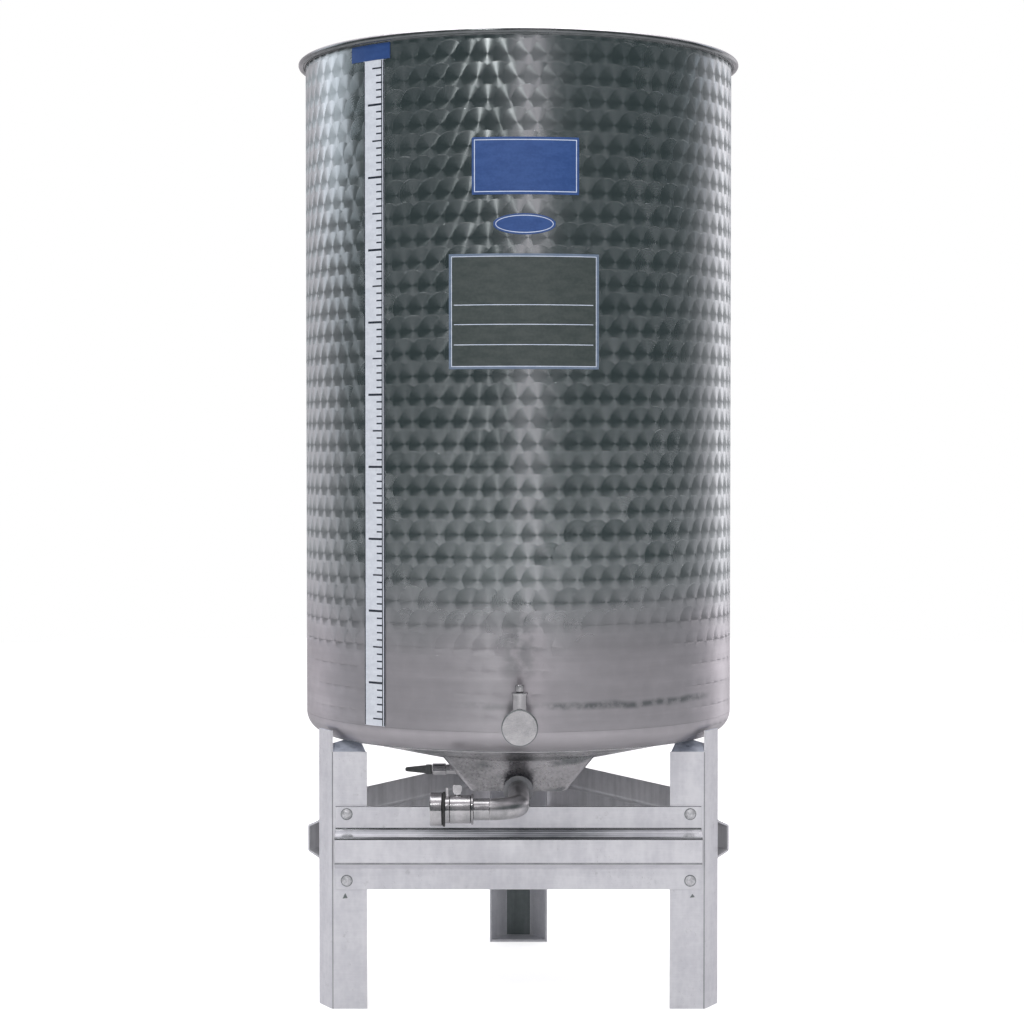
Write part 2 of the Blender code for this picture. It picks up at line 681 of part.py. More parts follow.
def build_foot_plate(place, angle, root):
    """The plate that closes the lower end of a leg's channel."""
    inset = STAND_SHEET + SEAM_GAP
    inner_half = leg_fold_half() - inset / tan(pi / 3)
    near = Vector((LEG_WEB_DISTANCE - inset, inner_half - FOOT_CORNER_CUT / 2))
    bend = flange_point(FOOT_CORNER_CUT, inset)
    far = flange_point(LEG_FLANGE_WIDTH - SEAM_GAP, inset)
    right = [(near.x, near.y), (bend.x, bend.y), (far.x, far.y)]
    outline = right + [(x, -y) for x, y in reversed(right)]
    foot = add_object(f"foot_plate_{place}", extrude_outline(outline, 0.0, FOOT_PLATE_HEIGHT),
                      ZINC, root)
    foot.rotation_euler.z = radians(angle)


def build_bar(place, angle, root):
    """A bar's section is an (outward, height) line: flat, raised rib, flat."""
    face = STAND_FACE + SEAM_GAP + BAR_SHEET
    rib = face + RIB_DEPTH
    corners = [
        (face, 0.0),
        (face, RIB_BASE[0]),
        (rib, RIB_PANEL[0]),
        (rib, RIB_PANEL[1]),
        (face, RIB_BASE[1]),
        (face, BAR_HEIGHT),
    ]
    outline = sheet_outline(rounded_path(corners, RIB_BEND_RADIUS, BEND_STEPS), BAR_SHEET)
    bm = extrude_outline(outline, -BAR_HALF_LENGTH, BAR_HALF_LENGTH)
    bmesh.ops.rotate(bm, verts=bm.verts, matrix=Matrix.Rotation(pi / 2, 3, "X"))
    bar = add_object(f"bar_{place}", bm, ZINC, root)
    bar.rotation_euler.z = radians(angle)
    bar.location.z = BAR_BOTTOM if place == "front" else BAR_BOTTOM + SIDE_BAR_LIFT


def build_stand(root):
    for place, angle in LEG_ANGLES.items():
        build_leg(place, angle, root)
        build_foot_plate(place, angle, root)
    for place, angle in BAR_ANGLES.items():
        build_bar(place, angle, root)


def build_tank():
    clear_scene()
    root = bpy.data.objects.new("tank_axis", None)
    bpy.context.scene.collection.objects.link(root)
    root.location.y = TANK_AXIS_Y
    build_shell(root)
    build_rim(root)
    build_knuckle(root)
    build_dish_and_funnel(root)
    build_plates(root)
    build_tap(root)
    build_drain(root)
    build_rear_valve(root)
    build_stand(root)


build_tank()
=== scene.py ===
"""Looks of the vertical storage tank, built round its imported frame."""

import json
from math import asin, ceil, cos, pi, radians, sin, sqrt

import bmesh
import bpy
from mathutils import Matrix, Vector


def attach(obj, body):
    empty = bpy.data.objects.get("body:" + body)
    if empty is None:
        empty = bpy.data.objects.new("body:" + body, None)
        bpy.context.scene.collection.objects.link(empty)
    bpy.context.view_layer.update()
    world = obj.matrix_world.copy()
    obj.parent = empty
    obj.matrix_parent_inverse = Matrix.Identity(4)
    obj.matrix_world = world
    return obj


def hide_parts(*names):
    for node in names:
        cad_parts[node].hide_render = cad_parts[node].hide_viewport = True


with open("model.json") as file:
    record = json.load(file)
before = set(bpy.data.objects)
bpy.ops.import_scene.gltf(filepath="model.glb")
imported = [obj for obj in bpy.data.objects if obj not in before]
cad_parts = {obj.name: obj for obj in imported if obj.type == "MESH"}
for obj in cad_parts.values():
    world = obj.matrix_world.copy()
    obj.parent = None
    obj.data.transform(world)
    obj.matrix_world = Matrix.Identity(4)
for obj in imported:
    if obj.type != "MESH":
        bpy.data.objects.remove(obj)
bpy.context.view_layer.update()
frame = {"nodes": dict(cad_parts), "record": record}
RECORD = frame["record"]
BODIES = RECORD["behaviour"]["bodies"]

# The tank's axis and wall, as in the frame
AXIS = Vector((0.0, 0.020, 0.0))
WALL_RADIUS = 0.315
WALL_SHEET = 0.0015
WALL_BOTTOM = 0.4114
WALL_STEPS = 288
SHELL_NODES = [f"shell_{number:02d}" for number in range(1, 13)]
WALL_HEIGHTS = (0.60, 0.85, 1.10)
SEAM_WIDTH = 0.0022
SEAM_PROUD = 0.0004
SEAM_SINK = 0.0004
SEAM_EDGE_SINK = 0.00005
SEAM_END_GAP = 0.001
SEAM_STEPS = 420
SEAM_SHARES = (-1.0, -0.5, 0.0, 0.5, 1.0)

# Rolled rim
RIM_TOP = 1.366
RIM_LOW = 1.3575
RIM_OUTER = 0.3255
RIM_TUBE = 0.0042
RIM_STEPS = 10
RIM_CURL = 1.42 * pi

# Rounded bottom corner
KNUCKLE_RADIUS = 0.030
KNUCKLE_TURN = radians(77)
KNUCKLE_STEPS = 14

# Films on the wall
FILM_OUTER = WALL_RADIUS + 0.0003 + 0.0008
PRINT_HEIGHT = 0.00006
PRINT_STEP = radians(0.5)
RULER_EDGE = radians(-36.75)
RULER_LINE = radians(0.30)
RULER_SIDES = (radians(-42.65), radians(-36.15))
TICK_BOTTOM = 0.4224
TICK_SPACING = 0.010
TICK_COUNT = 91
TICK_LONG_PHASE = 5
TICK_TURN_SHORT = radians(1.7)
TICK_TURN_MIDDLE = radians(3.0)
TICK_TURN_LONG = radians(4.5)
TICK_HEIGHT = 0.0021
TICK_HEIGHT_LONG = 0.0030
TICKS_TO_LONG = 10
TICKS_TO_MIDDLE = 5
RULER_LINE_HEIGHTS = (0.4130, 1.3330)
PRINT_SINK = 0.00002
LABEL_FRAME_X = (-0.0600, 0.0790)
LABEL_FRAME_HEIGHTS = (1.1450, 1.2160)
LABEL_FRAME_WIDTH = 0.0011
OVAL_EXTENT_X = (-0.0346, 0.0509)
OVAL_LINE_HALF_RUN = 0.0395
OVAL_LINE_HALF_HEIGHT = 0.0121
OVAL_LINE_WIDTH = 0.0010
OVAL_LINE_STEPS = 72
OVAL_MIDDLE_Z = 1.10175
PLATE_BORDER_X = (-0.0943, 0.1092)
PLATE_BORDER_HEIGHTS = (0.9056, 1.0617)
PLATE_BORDER_WIDTH = 0.0030
PLATE_FRAME_X = (-0.0912, 0.1061)
PLATE_FRAME_HEIGHTS = (0.9087, 1.0586)
PLATE_FRAME_WIDTH = 0.0010
PLATE_RULE_X = (-0.0875, 0.1015)
PLATE_RULE_HEIGHTS = (0.9925, 0.9660, 0.9385)
PLATE_RULE_HALF = 0.0005

# Bolts that hold the bars to the legs
BOLT_ALONG = 0.244
BOLT_HEIGHTS = (0.279, 0.184)
BOLT_LIFT = {"front": 0.0, "left": 0.0065, "right": 0.0065}
BAR_TURN = {"front": 270, "left": 150, "right": 30}
RIB_LINES = (0.1822, 0.1998)
BOLT_FACE = 0.1813
BOLT_BACK = 0.1750
BOLT_RADIUS = 0.0072
# How far the painted shadow ring reaches past each bolt head.
BOLT_SHADE_RING = 0.0013
BOLT_RISE = 0.0042
NUT_RADIUS = 0.0075
NUT_HEIGHT = 0.0055
NUT_CHAMFER_HEIGHT = 0.0008
NUT_CHAMFER = 0.0012
SHANK_RADIUS = 0.0035
SHANK_LENGTH = 0.0035
BOLT_SHADE_DEPTHS = (-0.0002, 0.00025)
BOLT_EDGE = 0.001
ROUND_SIDES = 32
WASHER_RADIUS = 0.0095
WASHER_HEIGHT = 0.0012

# Circle-brushed pattern
CIRCLE_PITCH = 0.0272
CIRCLE_ROW = 0.0310
CIRCLE_RADIUS = 0.0212
CIRCLE_STRAY = 0.0018
DISC_LEAN = 62.0
DISCS_FADE = (0.65, 0.49)
# A level dark band beside the tap: a painted reflection of a dark strip on the floor.
DARK_BAND_HEIGHT = 0.4465
DARK_BAND_START = 0.022
DARK_BAND_END = 0.345

# Dark smear on the wall above the tap, with the heights where it fades in and out
SMEAR_ALONG = 0.002
SMEAR_FOOT = (0.470, 0.500)
SMEAR_HEAD = (0.610, 0.560)

# Camera, from the photo's perspective
CAMERA_PLACE = (0.0, -3.445, 0.793)
CAMERA_PITCH = radians(88.52)
CAMERA_LENS = 81.6
CAMERA_SHIFT = -0.0063

SHARP = radians(32)
FLOOR_RADIUS = 6.5
FLOOR_SIDES = 128
FLOOR_COLOUR = (0.74, 0.74, 0.745)
FLOOR_SEEN_GLOW = 0.60
FLOOR_GLOW = 0.12
ROOM_DARK = (0.070, 0.091, 0.095)
ROOM_BRIGHT = (0.68, 0.64, 0.68)
ROOM_BACK_RAMP = (0.20, 0.72)
ROOM_TOP_RAMP = (0.34, 0.86)

# Where the stand's surfaces change
CHANNEL_START = 0.1835
RIB_MIDDLE = 0.190
BAR_END = 0.250
TAB_START = 0.3675

# Bottom seam, between the rounded corner and the cone
SEAM_RING = (0.29175, 0.38217)
SEAM_BEAD = 0.0010
SEAM_BEAD_STEPS = 10
SEAM_BEAD_DROP = 0.0004
# A thin dark ring just above the bead: a painted shadow.
SEAM_SHADOW = 0.0005
SEAM_SHADOW_STEPS = 6
SEAM_SHADOW_OUT = 0.0029
SEAM_SHADOW_UP = 0.0008

# Small dark nick on each front leg, just below the bar
NICK_FACE_Y = -0.158
NICK_Z = 0.162
NICK_X = 0.2470
NICK_TALL = {-1: 0.0085, 1: 0.0060}
NICK_LEFT = -0.0036
NICK_RIGHT = 0.0042
NICK_TIP = 0.0006
NICK_LIFT = 0.0008
NICK_DEPTHS = (0.0004, -0.0001)


class Graph:
    """A material's node tree, with short calls for the nodes that repeat."""

    def __init__(self, name, metallic=0.0, **constants):
        self.material = bpy.data.materials.new(name)
        self.material.use_nodes = True
        self.tree = self.material.node_tree
        self.tree.nodes.clear()
        self.shader = self.node("ShaderNodeBsdfPrincipled")
        output = self.node("ShaderNodeOutputMaterial")
        self.link(self.shader.outputs["BSDF"], output.inputs["Surface"])
        self.shader.inputs["Metallic"].default_value = metallic
        for socket, value in constants.items():
            self.shader.inputs[socket.replace("_", " ")].default_value = value
        self.place = self.node("ShaderNodeTexCoord").outputs["Object"]

    def node(self, kind, **settings):
        made = self.tree.nodes.new(kind)
        for key, value in settings.items():
            setattr(made, key, value)
        return made

    def link(self, source, target):
        self.tree.links.new(source, target)

    def feed(self, socket, value):
        """Links an output to a socket, or sets the socket to a number."""
        if isinstance(value, bpy.types.NodeSocket):
            self.link(value, socket)
        else:
            socket.default_value = value

    def math(self, operation, first, second=0.0, third=0.0):
        made = self.node("ShaderNodeMath", operation=operation)
        for socket, value in zip(made.inputs, (first, second, third)):
            self.feed(socket, value)
        return made.outputs[0]

    def vector(self, x=0.0, y=0.0, z=0.0):
        made = self.node("ShaderNodeCombineXYZ")
        for socket, value in zip(made.inputs, (x, y, z)):
            self.feed(socket, value)
        return made.outputs[0]

    def split(self, vector):
        made = self.node("ShaderNodeSeparateXYZ")
        self.link(vector, made.inputs[0])
        return made.outputs

    def vector_math(self, operation, first, second):
        made = self.node("ShaderNodeVectorMath", operation=operation)
        self.feed(made.inputs[0], first)
        self.feed(made.inputs[1], second)
        return made.outputs[0]

    def stretch(self, scales):
        """The piece's own coordinates, scaled per axis."""
        return self.vector_math("MULTIPLY", self.place, scales)

    def noise(self, vector, scale, detail=3.0, roughness=0.5):
        made = self.node("ShaderNodeTexNoise")
        self.link(vector, made.inputs["Vector"])
        made.inputs["Scale"].default_value = scale
        made.inputs["Detail"].default_value = detail
        made.inputs["Roughness"].default_value = roughness
        return made.outputs["Fac"]

    def noise_line(self, position, detail=3.0):
        made = self.node("ShaderNodeTexNoise", noise_dimensions="1D")
        self.link(position, made.inputs["W"])
        made.inputs["Scale"].default_value = 1.0
        made.inputs["Detail"].default_value = detail
        return made.outputs["Fac"]

    def cells(self, vector, scale, feature="F1"):
        made = self.node("ShaderNodeTexVoronoi", feature=feature)
        self.link(vector, made.inputs["Vector"])
        made.inputs["Scale"].default_value = scale
        return made.outputs["Distance"]

    def fit(self, value, low, high, to_low=0.0, to_high=1.0):
        """Maps a range to another with soft ends."""
        made = self.node("ShaderNodeMapRange", interpolation_type="SMOOTHSTEP")
        for name, number in (("From Min", low), ("From Max", high), ("To Min", to_low),
                             ("To Max", to_high)):
            made.inputs[name].default_value = number
        self.link(value, made.inputs["Value"])
        return made.outputs["Result"]

    def blend(self, share, first, second, kind="FLOAT"):
        """Goes from first to second, as numbers, vectors or colours."""
        made = self.node("ShaderNodeMix", data_type=kind)
        names = {"FLOAT": (0, 2, 3, 0), "VECTOR": (0, 4, 5, 1), "RGBA": (0, 6, 7, 2)}[kind]
        for index, value in zip(names, (share, first, second)):
            self.feed(made.inputs[index], value)
        return made.outputs[names[3]]

    def tint(self, share, first, second):
        colours = [(*colour, 1.0) if isinstance(colour, tuple) else colour
                   for colour in (first, second)]
        return self.blend(share, *colours, kind="RGBA")

    def colour(self, value):
        self.feed(self.shader.inputs["Base Color"], value)

    def roughness(self, value):
        self.feed(self.shader.inputs["Roughness"], value)

    def bump(self, height, distance, strength=1.0):
        made = self.node("ShaderNodeBump")
        made.inputs["Strength"].default_value = strength
        made.inputs["Distance"].default_value = distance
        self.link(height, made.inputs["Height"])
        self.link(made.outputs["Normal"], self.shader.inputs["Normal"])

    def edges(self, width):
        """1 on the piece's edges and 0 on its faces."""
        made = self.node("ShaderNodeBevel", samples=4)
        made.inputs["Radius"].default_value = width
        normal = self.node("ShaderNodeNewGeometry").outputs["Normal"]
        turned = self.node("ShaderNodeVectorMath", operation="DOT_PRODUCT")
        self.link(made.outputs["Normal"], turned.inputs[0])
        self.link(normal, turned.inputs[1])
        return self.fit(turned.outputs["Value"], 0.995, 0.90)


def length_of(g, first, second):
    squares = (g.math("MULTIPLY", first, first), g.math("MULTIPLY", second, second))
    return g.math("SQRT", g.math("ADD", *squares))


def topmost_disc(g, along, height):
    """Distance sideways and upwards from the middle of the disc that shows, and its own chance."""
    row = g.math("FLOOR", g.math("DIVIDE", height, CIRCLE_ROW))
    chosen = None
    for row_step in (1, 0):
        this_row = g.math("ADD", row, float(row_step))
        rise = g.math("SUBTRACT", height, g.math("MULTIPLY", this_row, CIRCLE_ROW))
        shift = g.math("MULTIPLY", g.math("FLOORED_MODULO", this_row, 2.0), 0.5)
        column = g.math("ADD", g.math("DIVIDE", along, CIRCLE_PITCH), shift)
        first = g.math("FLOOR", column)
        for column_step in (0, 1):
            this_column = g.math("ADD", first, float(column_step))
            chance = g.node("ShaderNodeTexWhiteNoise", noise_dimensions="2D")
            g.link(g.vector(this_column, this_row), chance.inputs["Vector"])
            luck = chance.outputs["Value"]
            side = g.math("MULTIPLY", g.math("SUBTRACT", column, this_column), CIRCLE_PITCH)
            stray = g.math("MULTIPLY_ADD", luck, 2 * CIRCLE_STRAY, -CIRCLE_STRAY)
            side = g.math("ADD", side, stray)
            candidate = g.vector(side, rise, luck)
            if chosen is None:
                chosen = candidate
                continue
            inside = g.math("LESS_THAN", length_of(g, side, rise), CIRCLE_RADIUS)
            chosen = g.blend(inside, chosen, candidate, "VECTOR")
    return g.split(chosen)


def brush_outwards(g, x, y, side, rise, faded):
    """Points the brushing away from a disc's middle, and upright where the discs have faded."""
    narrowed = g.math("MULTIPLY_ADD", faded, -0.97, 1.0)
    across = g.math("MULTIPLY", g.math("DIVIDE", side, WALL_RADIUS), narrowed)
    brushed = g.vector(g.math("MULTIPLY", g.math("MULTIPLY", y, across), -1.0),
                       g.math("MULTIPLY", x, across), rise)
    direction = g.node("ShaderNodeVectorMath", operation="NORMALIZE")
    g.link(brushed, direction.inputs[0])
    g.link(direction.outputs[0], g.shader.inputs["Tangent"])


def wall_colour(g, bearing, luck, faded, stamped, z):
    """Disc by disc tone above, with a painted bow-tie reflection in each disc; run marks and clouds
    below, with a paler, pinker painted reflection of the floor; painted shade where it turns under.
    """
    turn_by = g.math("MULTIPLY_ADD", luck, 31.0, g.math("MULTIPLY", bearing, 2.6))
    streaks = g.noise_line(turn_by, 2.0)
    # The wedge is a painted bow-tie reflection: darker to either side of a disc's middle, lighter
    # above and below it.
    bowtie_reflection = g.math("COSINE", g.math("MULTIPLY", bearing, 2.0))
    tone = g.math("MULTIPLY_ADD", streaks, 0.20, 0.02)
    tone = g.math("ADD", tone, g.math("MULTIPLY", bowtie_reflection, -0.16))
    tone = g.math("ADD", tone, g.math("MULTIPLY", luck, 0.06))
    tone = g.math("MULTIPLY", tone, stamped)
    stain = g.noise(g.place, 5.0, 4.0)
    tone = g.math("ADD", tone, g.math("MULTIPLY", stain, 0.25))
    runs = g.noise(g.stretch((2.2, 2.2, 42.0)), 1.0, 4.0, 0.6)
    clouds = g.noise(g.stretch((9.0, 9.0, 14.0)), 1.0, 3.0, 0.6)
    low_tone = g.math("ADD", g.math("MULTIPLY", runs, 0.60), g.math("MULTIPLY", clouds, 0.60))
    tone = g.math("ADD", tone, g.math("MULTIPLY", faded, g.math("SUBTRACT", low_tone, 0.48)))
    tone = g.fit(tone, 0.05, 0.70)
    # Where the discs fade lower down, both tints turn paler and pinker: a painted reflection of the
    # bright floor.
    dark = g.tint(faded, (0.375, 0.413, 0.414), (0.470, 0.455, 0.474))
    light = g.tint(faded, (0.600, 0.632, 0.638), (0.690, 0.662, 0.688))
    body = g.tint(tone, dark, light)
    # Painted shade where the wall turns under at the bottom corner.
    under_shade = g.math("MULTIPLY", g.fit(z, WALL_BOTTOM, WALL_BOTTOM - 0.018), 0.45)
    return g.tint(under_shade, body, (0.30, 0.292, 0.302))


def dark_reflection_band(g, along, z):
    """A level dark band beside the tap, stronger on its right: a painted reflection of a dark strip
    on the floor.
    """
    drift = g.math("MULTIPLY_ADD", g.noise(g.place, 12.0, 2.0), 0.012, DARK_BAND_HEIGHT - 0.006)
    band = g.fit(g.math("ABSOLUTE", g.math("SUBTRACT", z, drift)), 0.0085, 0.0005)
    left_part = g.math("MULTIPLY", g.fit(along, -0.13, -0.04), 0.40)
    right_part = g.fit(along, DARK_BAND_START, DARK_BAND_START + 0.03)
    band = g.math("MULTIPLY", band, g.math("MAXIMUM", left_part, right_part))
    band = g.math("MULTIPLY", band, g.fit(along, DARK_BAND_END, DARK_BAND_END - 0.06))
    broken = g.fit(g.noise(g.place, 55.0, 4.0, 0.6), 0.32, 0.62, 0.25, 1.0)
    return g.math("MULTIPLY", band, broken)


def tap_smear(g, along, z):
    """A dark smear that runs up the wall from the tap."""
    smear = g.fit(g.math("ABSOLUTE", g.math("SUBTRACT", along, SMEAR_ALONG)), 0.034, 0.004)
    smear = g.math("MULTIPLY", smear, g.fit(z, *SMEAR_FOOT))
    smear = g.math("MULTIPLY", smear, g.fit(z, *SMEAR_HEAD))
    patchy = g.fit(g.noise(g.place, 48.0, 3.0), 0.36, 0.60, 0.1, 1.0)
    return g.math("MULTIPLY", smear, patchy)


def disc_relief(g, side, rise, reach, luck, stamped):
    """Each disc is slightly dished and leans its own way, on a gently wavy sheet."""
    share = g.math("DIVIDE", reach, CIRCLE_RADIUS)
    relief = g.math("MULTIPLY", g.math("MULTIPLY", share, share), -0.8)
    lean = g.math("MULTIPLY", side, g.math("MULTIPLY_ADD", luck, 2 * DISC_LEAN, -DISC_LEAN))
    other = g.math("FRACT", g.math("MULTIPLY", luck, 7.31))
    nod = g.math("MULTIPLY", rise, g.math("MULTIPLY_ADD", other, 2 * DISC_LEAN, -DISC_LEAN))
    relief = g.math("ADD", relief, g.math("ADD", lean, nod))
    relief = g.math("MULTIPLY", relief, stamped)
    waves = g.noise(g.stretch((3.0, 3.0, 1.5)), 1.6, 2.0)
    g.bump(g.math("MULTIPLY_ADD", waves, 6.0, relief), 0.00022)


def circle_brushed():
    """Stainless sheet stamped with overlapping brushed circles, row below row."""
    g = Graph("circle_brushed_steel", metallic=1.0, Anisotropic=0.80)
    x, y, z = g.split(g.vector_math("SUBTRACT", g.place, tuple(AXIS)))
    turn = g.math("ARCTAN2", x, g.math("MULTIPLY", y, -1.0))
    along = g.math("MULTIPLY", turn, WALL_RADIUS)
    wobble = g.noise(g.place, 2.3, 1.0)
    height = g.math("ADD", z, g.math("MULTIPLY", wobble, 0.004))
    side, rise, luck = topmost_disc(g, along, height)
    reach = length_of(g, side, rise)
    bearing = g.math("ARCTAN2", rise, side)
    uneven = g.math("MULTIPLY_ADD", g.noise(g.place, 7.0, 3.0), 0.10, -0.05)
    faded = g.fit(g.math("ADD", z, uneven), *DISCS_FADE)
    stamped = g.math("SUBTRACT", 1.0, g.math("MULTIPLY", faded, 0.88))
    brush_outwards(g, x, y, side, rise, faded)

    body = wall_colour(g, bearing, luck, faded, stamped, z)
    # Darkens the wall along the painted reflection band and along the smear above the tap.
    dark_band_and_smear = g.math("MAXIMUM", g.math("MULTIPLY", dark_reflection_band(g, along, z), 0.72),
                    g.math("MULTIPLY", tap_smear(g, along, z), 0.42))
    g.colour(g.tint(dark_band_and_smear, body, (0.10, 0.125, 0.125)))

    rings = g.noise_line(g.math("MULTIPLY_ADD", luck, 70.0, g.math("MULTIPLY", reach, 300.0)), 1.0)
    glancing = g.node("ShaderNodeLayerWeight").outputs["Facing"]
    glancing = g.math("MULTIPLY", g.math("POWER", glancing, 1.5), 0.27)
    rough = g.math("MULTIPLY_ADD", rings, 0.03, g.math("MULTIPLY_ADD", luck, 0.05, 0.19))
    g.roughness(g.math("ADD", g.math("MULTIPLY_ADD", faded, 0.08, rough), glancing))
    disc_relief(g, side, rise, reach, luck, stamped)
    return g.material


def satin_steel():
    """Plain satin stainless of the bottom, the funnel and the rim."""
    g = Graph("satin_steel", metallic=1.0, Anisotropic=0.35)
    grain = g.noise(g.stretch((260.0, 260.0, 60.0)), 1.0, 4.0)
    stain = g.noise(g.place, 9.0, 5.0, 0.6)
    cloud = g.noise(g.place, 30.0, 3.0)
    tone = g.fit(g.math("MULTIPLY_ADD", grain, 0.30, g.math("MULTIPLY", stain, 0.70)), 0.36, 0.60)
    smudge = g.fit(g.noise(g.stretch((1.0, 1.0, 1.7)), 11.0, 3.0, 0.55), 0.50, 0.64)
    body = g.tint(tone, (0.34, 0.338, 0.345), (0.62, 0.604, 0.618))
    g.colour(g.tint(g.math("MULTIPLY", smudge, 0.72), body, (0.15, 0.172, 0.175)))
    g.roughness(g.math("MULTIPLY_ADD", grain, 0.12, g.math("MULTIPLY_ADD", cloud, 0.14, 0.15)))
    g.bump(g.math("MULTIPLY_ADD", cloud, 0.6, grain), 0.00006)
    return g.material


def rim_steel():
    """The rolled rim, painted dark as the shade under the roll, with a painted highlight along its
    crest.
    """
    g = Graph("rim_steel", metallic=0.85)
    grain = g.noise(g.stretch((60.0, 60.0, 900.0)), 1.0, 4.0)
    patches = g.noise(g.place, 16.0, 5.0, 0.6)
    z = g.split(g.place)[2]
    # A painted highlight along the top of the roll.
    crest = g.fit(z, RIM_TOP - 0.0030, RIM_TOP - 0.0016)
    tone = g.fit(g.math("MULTIPLY_ADD", grain, 0.4, g.math("MULTIPLY", patches, 0.6)), 0.3, 0.7)
    body = g.tint(tone, (0.105, 0.118, 0.120), (0.23, 0.242, 0.246))
    g.colour(g.tint(crest, body, (0.80, 0.79, 0.81)))
    g.roughness(g.fit(patches, 0.3, 0.7, 0.14, 0.30))
    g.bump(grain, 0.00006)
    return g.material


def painted_highlight_bend():
    """The rib's upper shoulder, painted near white as a highlight towards the bar's ends and darker
    in its middle, with fine press lines and a line of painted shade along each bend.
    """
    g = Graph("painted_highlight_bend", metallic=1.0)
    lines = g.noise(g.stretch((2.0, 2.0, 900.0)), 1.0, 2.0)
    patches = g.noise(g.stretch((9.0, 9.0, 60.0)), 1.0, 4.0, 0.6)
    tone = g.fit(g.math("MULTIPLY_ADD", lines, 0.75, g.math("MULTIPLY", patches, 0.25)), 0.38, 0.60)
    from_axis = g.vector_math("SUBTRACT", g.place, tuple(AXIS))
    x, y, _ = g.split(from_axis)
    reach = g.math("SQRT", g.math("ADD", g.math("MULTIPLY", x, x), g.math("MULTIPLY", y, y)))
    reach = g.math("MULTIPLY_ADD", patches, 0.06, reach)
    highlight_towards_ends = g.fit(reach, 0.225, 0.275)
    depth = None
    for degrees in BAR_TURN.values():
        outward = (cos(radians(degrees)), sin(radians(degrees)), 0.0)
        towards = g.node("ShaderNodeVectorMath", operation="DOT_PRODUCT")
        g.link(from_axis, towards.inputs[0])
        towards.inputs[1].default_value = outward
        towards = towards.outputs["Value"]
        depth = towards if depth is None else g.math("MAXIMUM", depth, towards)
    # The near-white tint is a painted highlight; the darker tint fills each shoulder's middle.
    bright = g.tint(tone, (0.60, 0.61, 0.63), (0.98, 0.98, 0.99))
    worn = g.tint(tone, (0.20, 0.215, 0.22), (0.66, 0.67, 0.69))
    body = g.tint(highlight_towards_ends, worn, bright)
    # Painted shade lines along the shoulder's two bends.
    upper_line = g.fit(depth, RIB_LINES[0] + 0.0016, RIB_LINES[0])
    lower_line = g.fit(depth, RIB_LINES[1] - 0.0016, RIB_LINES[1])
    bend_shade_lines = g.math("MULTIPLY", g.math("MAXIMUM", upper_line, lower_line), 0.85)
    g.colour(g.tint(bend_shade_lines, body, (0.09, 0.10, 0.105)))
    g.roughness(g.fit(patches, 0.3, 0.7, 0.10, 0.28))
    g.bump(lines, 0.00008)
    return g.material


def tab_sheet():
    """The legs' folded tabs, pale and bluish where the weld heat drew colour."""
    g = Graph("tab_sheet", metallic=0.3)
    heat = g.noise(g.stretch((30.0, 30.0, 60.0)), 1.0, 4.0, 0.6)
    specks = g.noise(g.place, 240.0, 4.0, 0.7)
    body = g.tint(g.fit(heat, 0.35, 0.62), (0.34, 0.38, 0.47), (0.74, 0.79, 0.90))
    g.colour(g.tint(g.fit(specks, 0.62, 0.74), body, (0.12, 0.14, 0.17)))
    g.roughness(g.fit(heat, 0.3, 0.7, 0.25, 0.5))
    g.bump(specks, 0.00008)
    return g.material


def painted_shade_sheet(name, dark, light):
    """Stand sheet painted dark as shade on its hidden faces, creases and channels, with run marks,
    and pale edges that are partly wear and partly a painted highlight.
    """
    g = Graph(name, metallic=0.5)
    runs = g.noise(g.stretch((70.0, 70.0, 6.0)), 1.0, 4.0, 0.6)
    spots = g.noise(g.place, 90.0, 5.0, 0.65)
    worn = g.edges(0.0014)
    tone = g.fit(g.math("MULTIPLY_ADD", spots, 0.4, g.math("MULTIPLY", runs, 0.6)), 0.3, 0.7)
    body = g.tint(tone, dark, light)
    # Pale edges: partly wear, partly a painted highlight.
    g.colour(g.tint(worn, body, (0.50, 0.50, 0.52)))
    g.roughness(g.fit(spots, 0.3, 0.7, 0.35, 0.60))
    g.bump(runs, 0.00008)
    return g.material


def turned_steel(name, polish):
    """Bright fittings with fine lathe marks and finger smudges; polish is the least roughness."""
    g = Graph(name, metallic=1.0, Anisotropic=0.45)
    marks = g.noise(g.stretch((700.0, 700.0, 700.0)), 1.0, 3.0)
    smudge = g.noise(g.place, 45.0, 4.0, 0.6)
    worn = g.edges(0.0008)
    tone = g.fit(g.math("MULTIPLY_ADD", marks, 0.25, g.math("MULTIPLY", smudge, 0.75)), 0.3, 0.7)
    body = g.tint(tone, (0.36, 0.365, 0.37), (0.63, 0.62, 0.63))
    g.colour(g.tint(worn, body, (0.78, 0.78, 0.78)))
    g.roughness(g.math("MULTIPLY_ADD", smudge, 0.16, g.math("MULTIPLY_ADD", marks, 0.06, polish)))
    g.bump(marks, 0.00003)
    return g.material


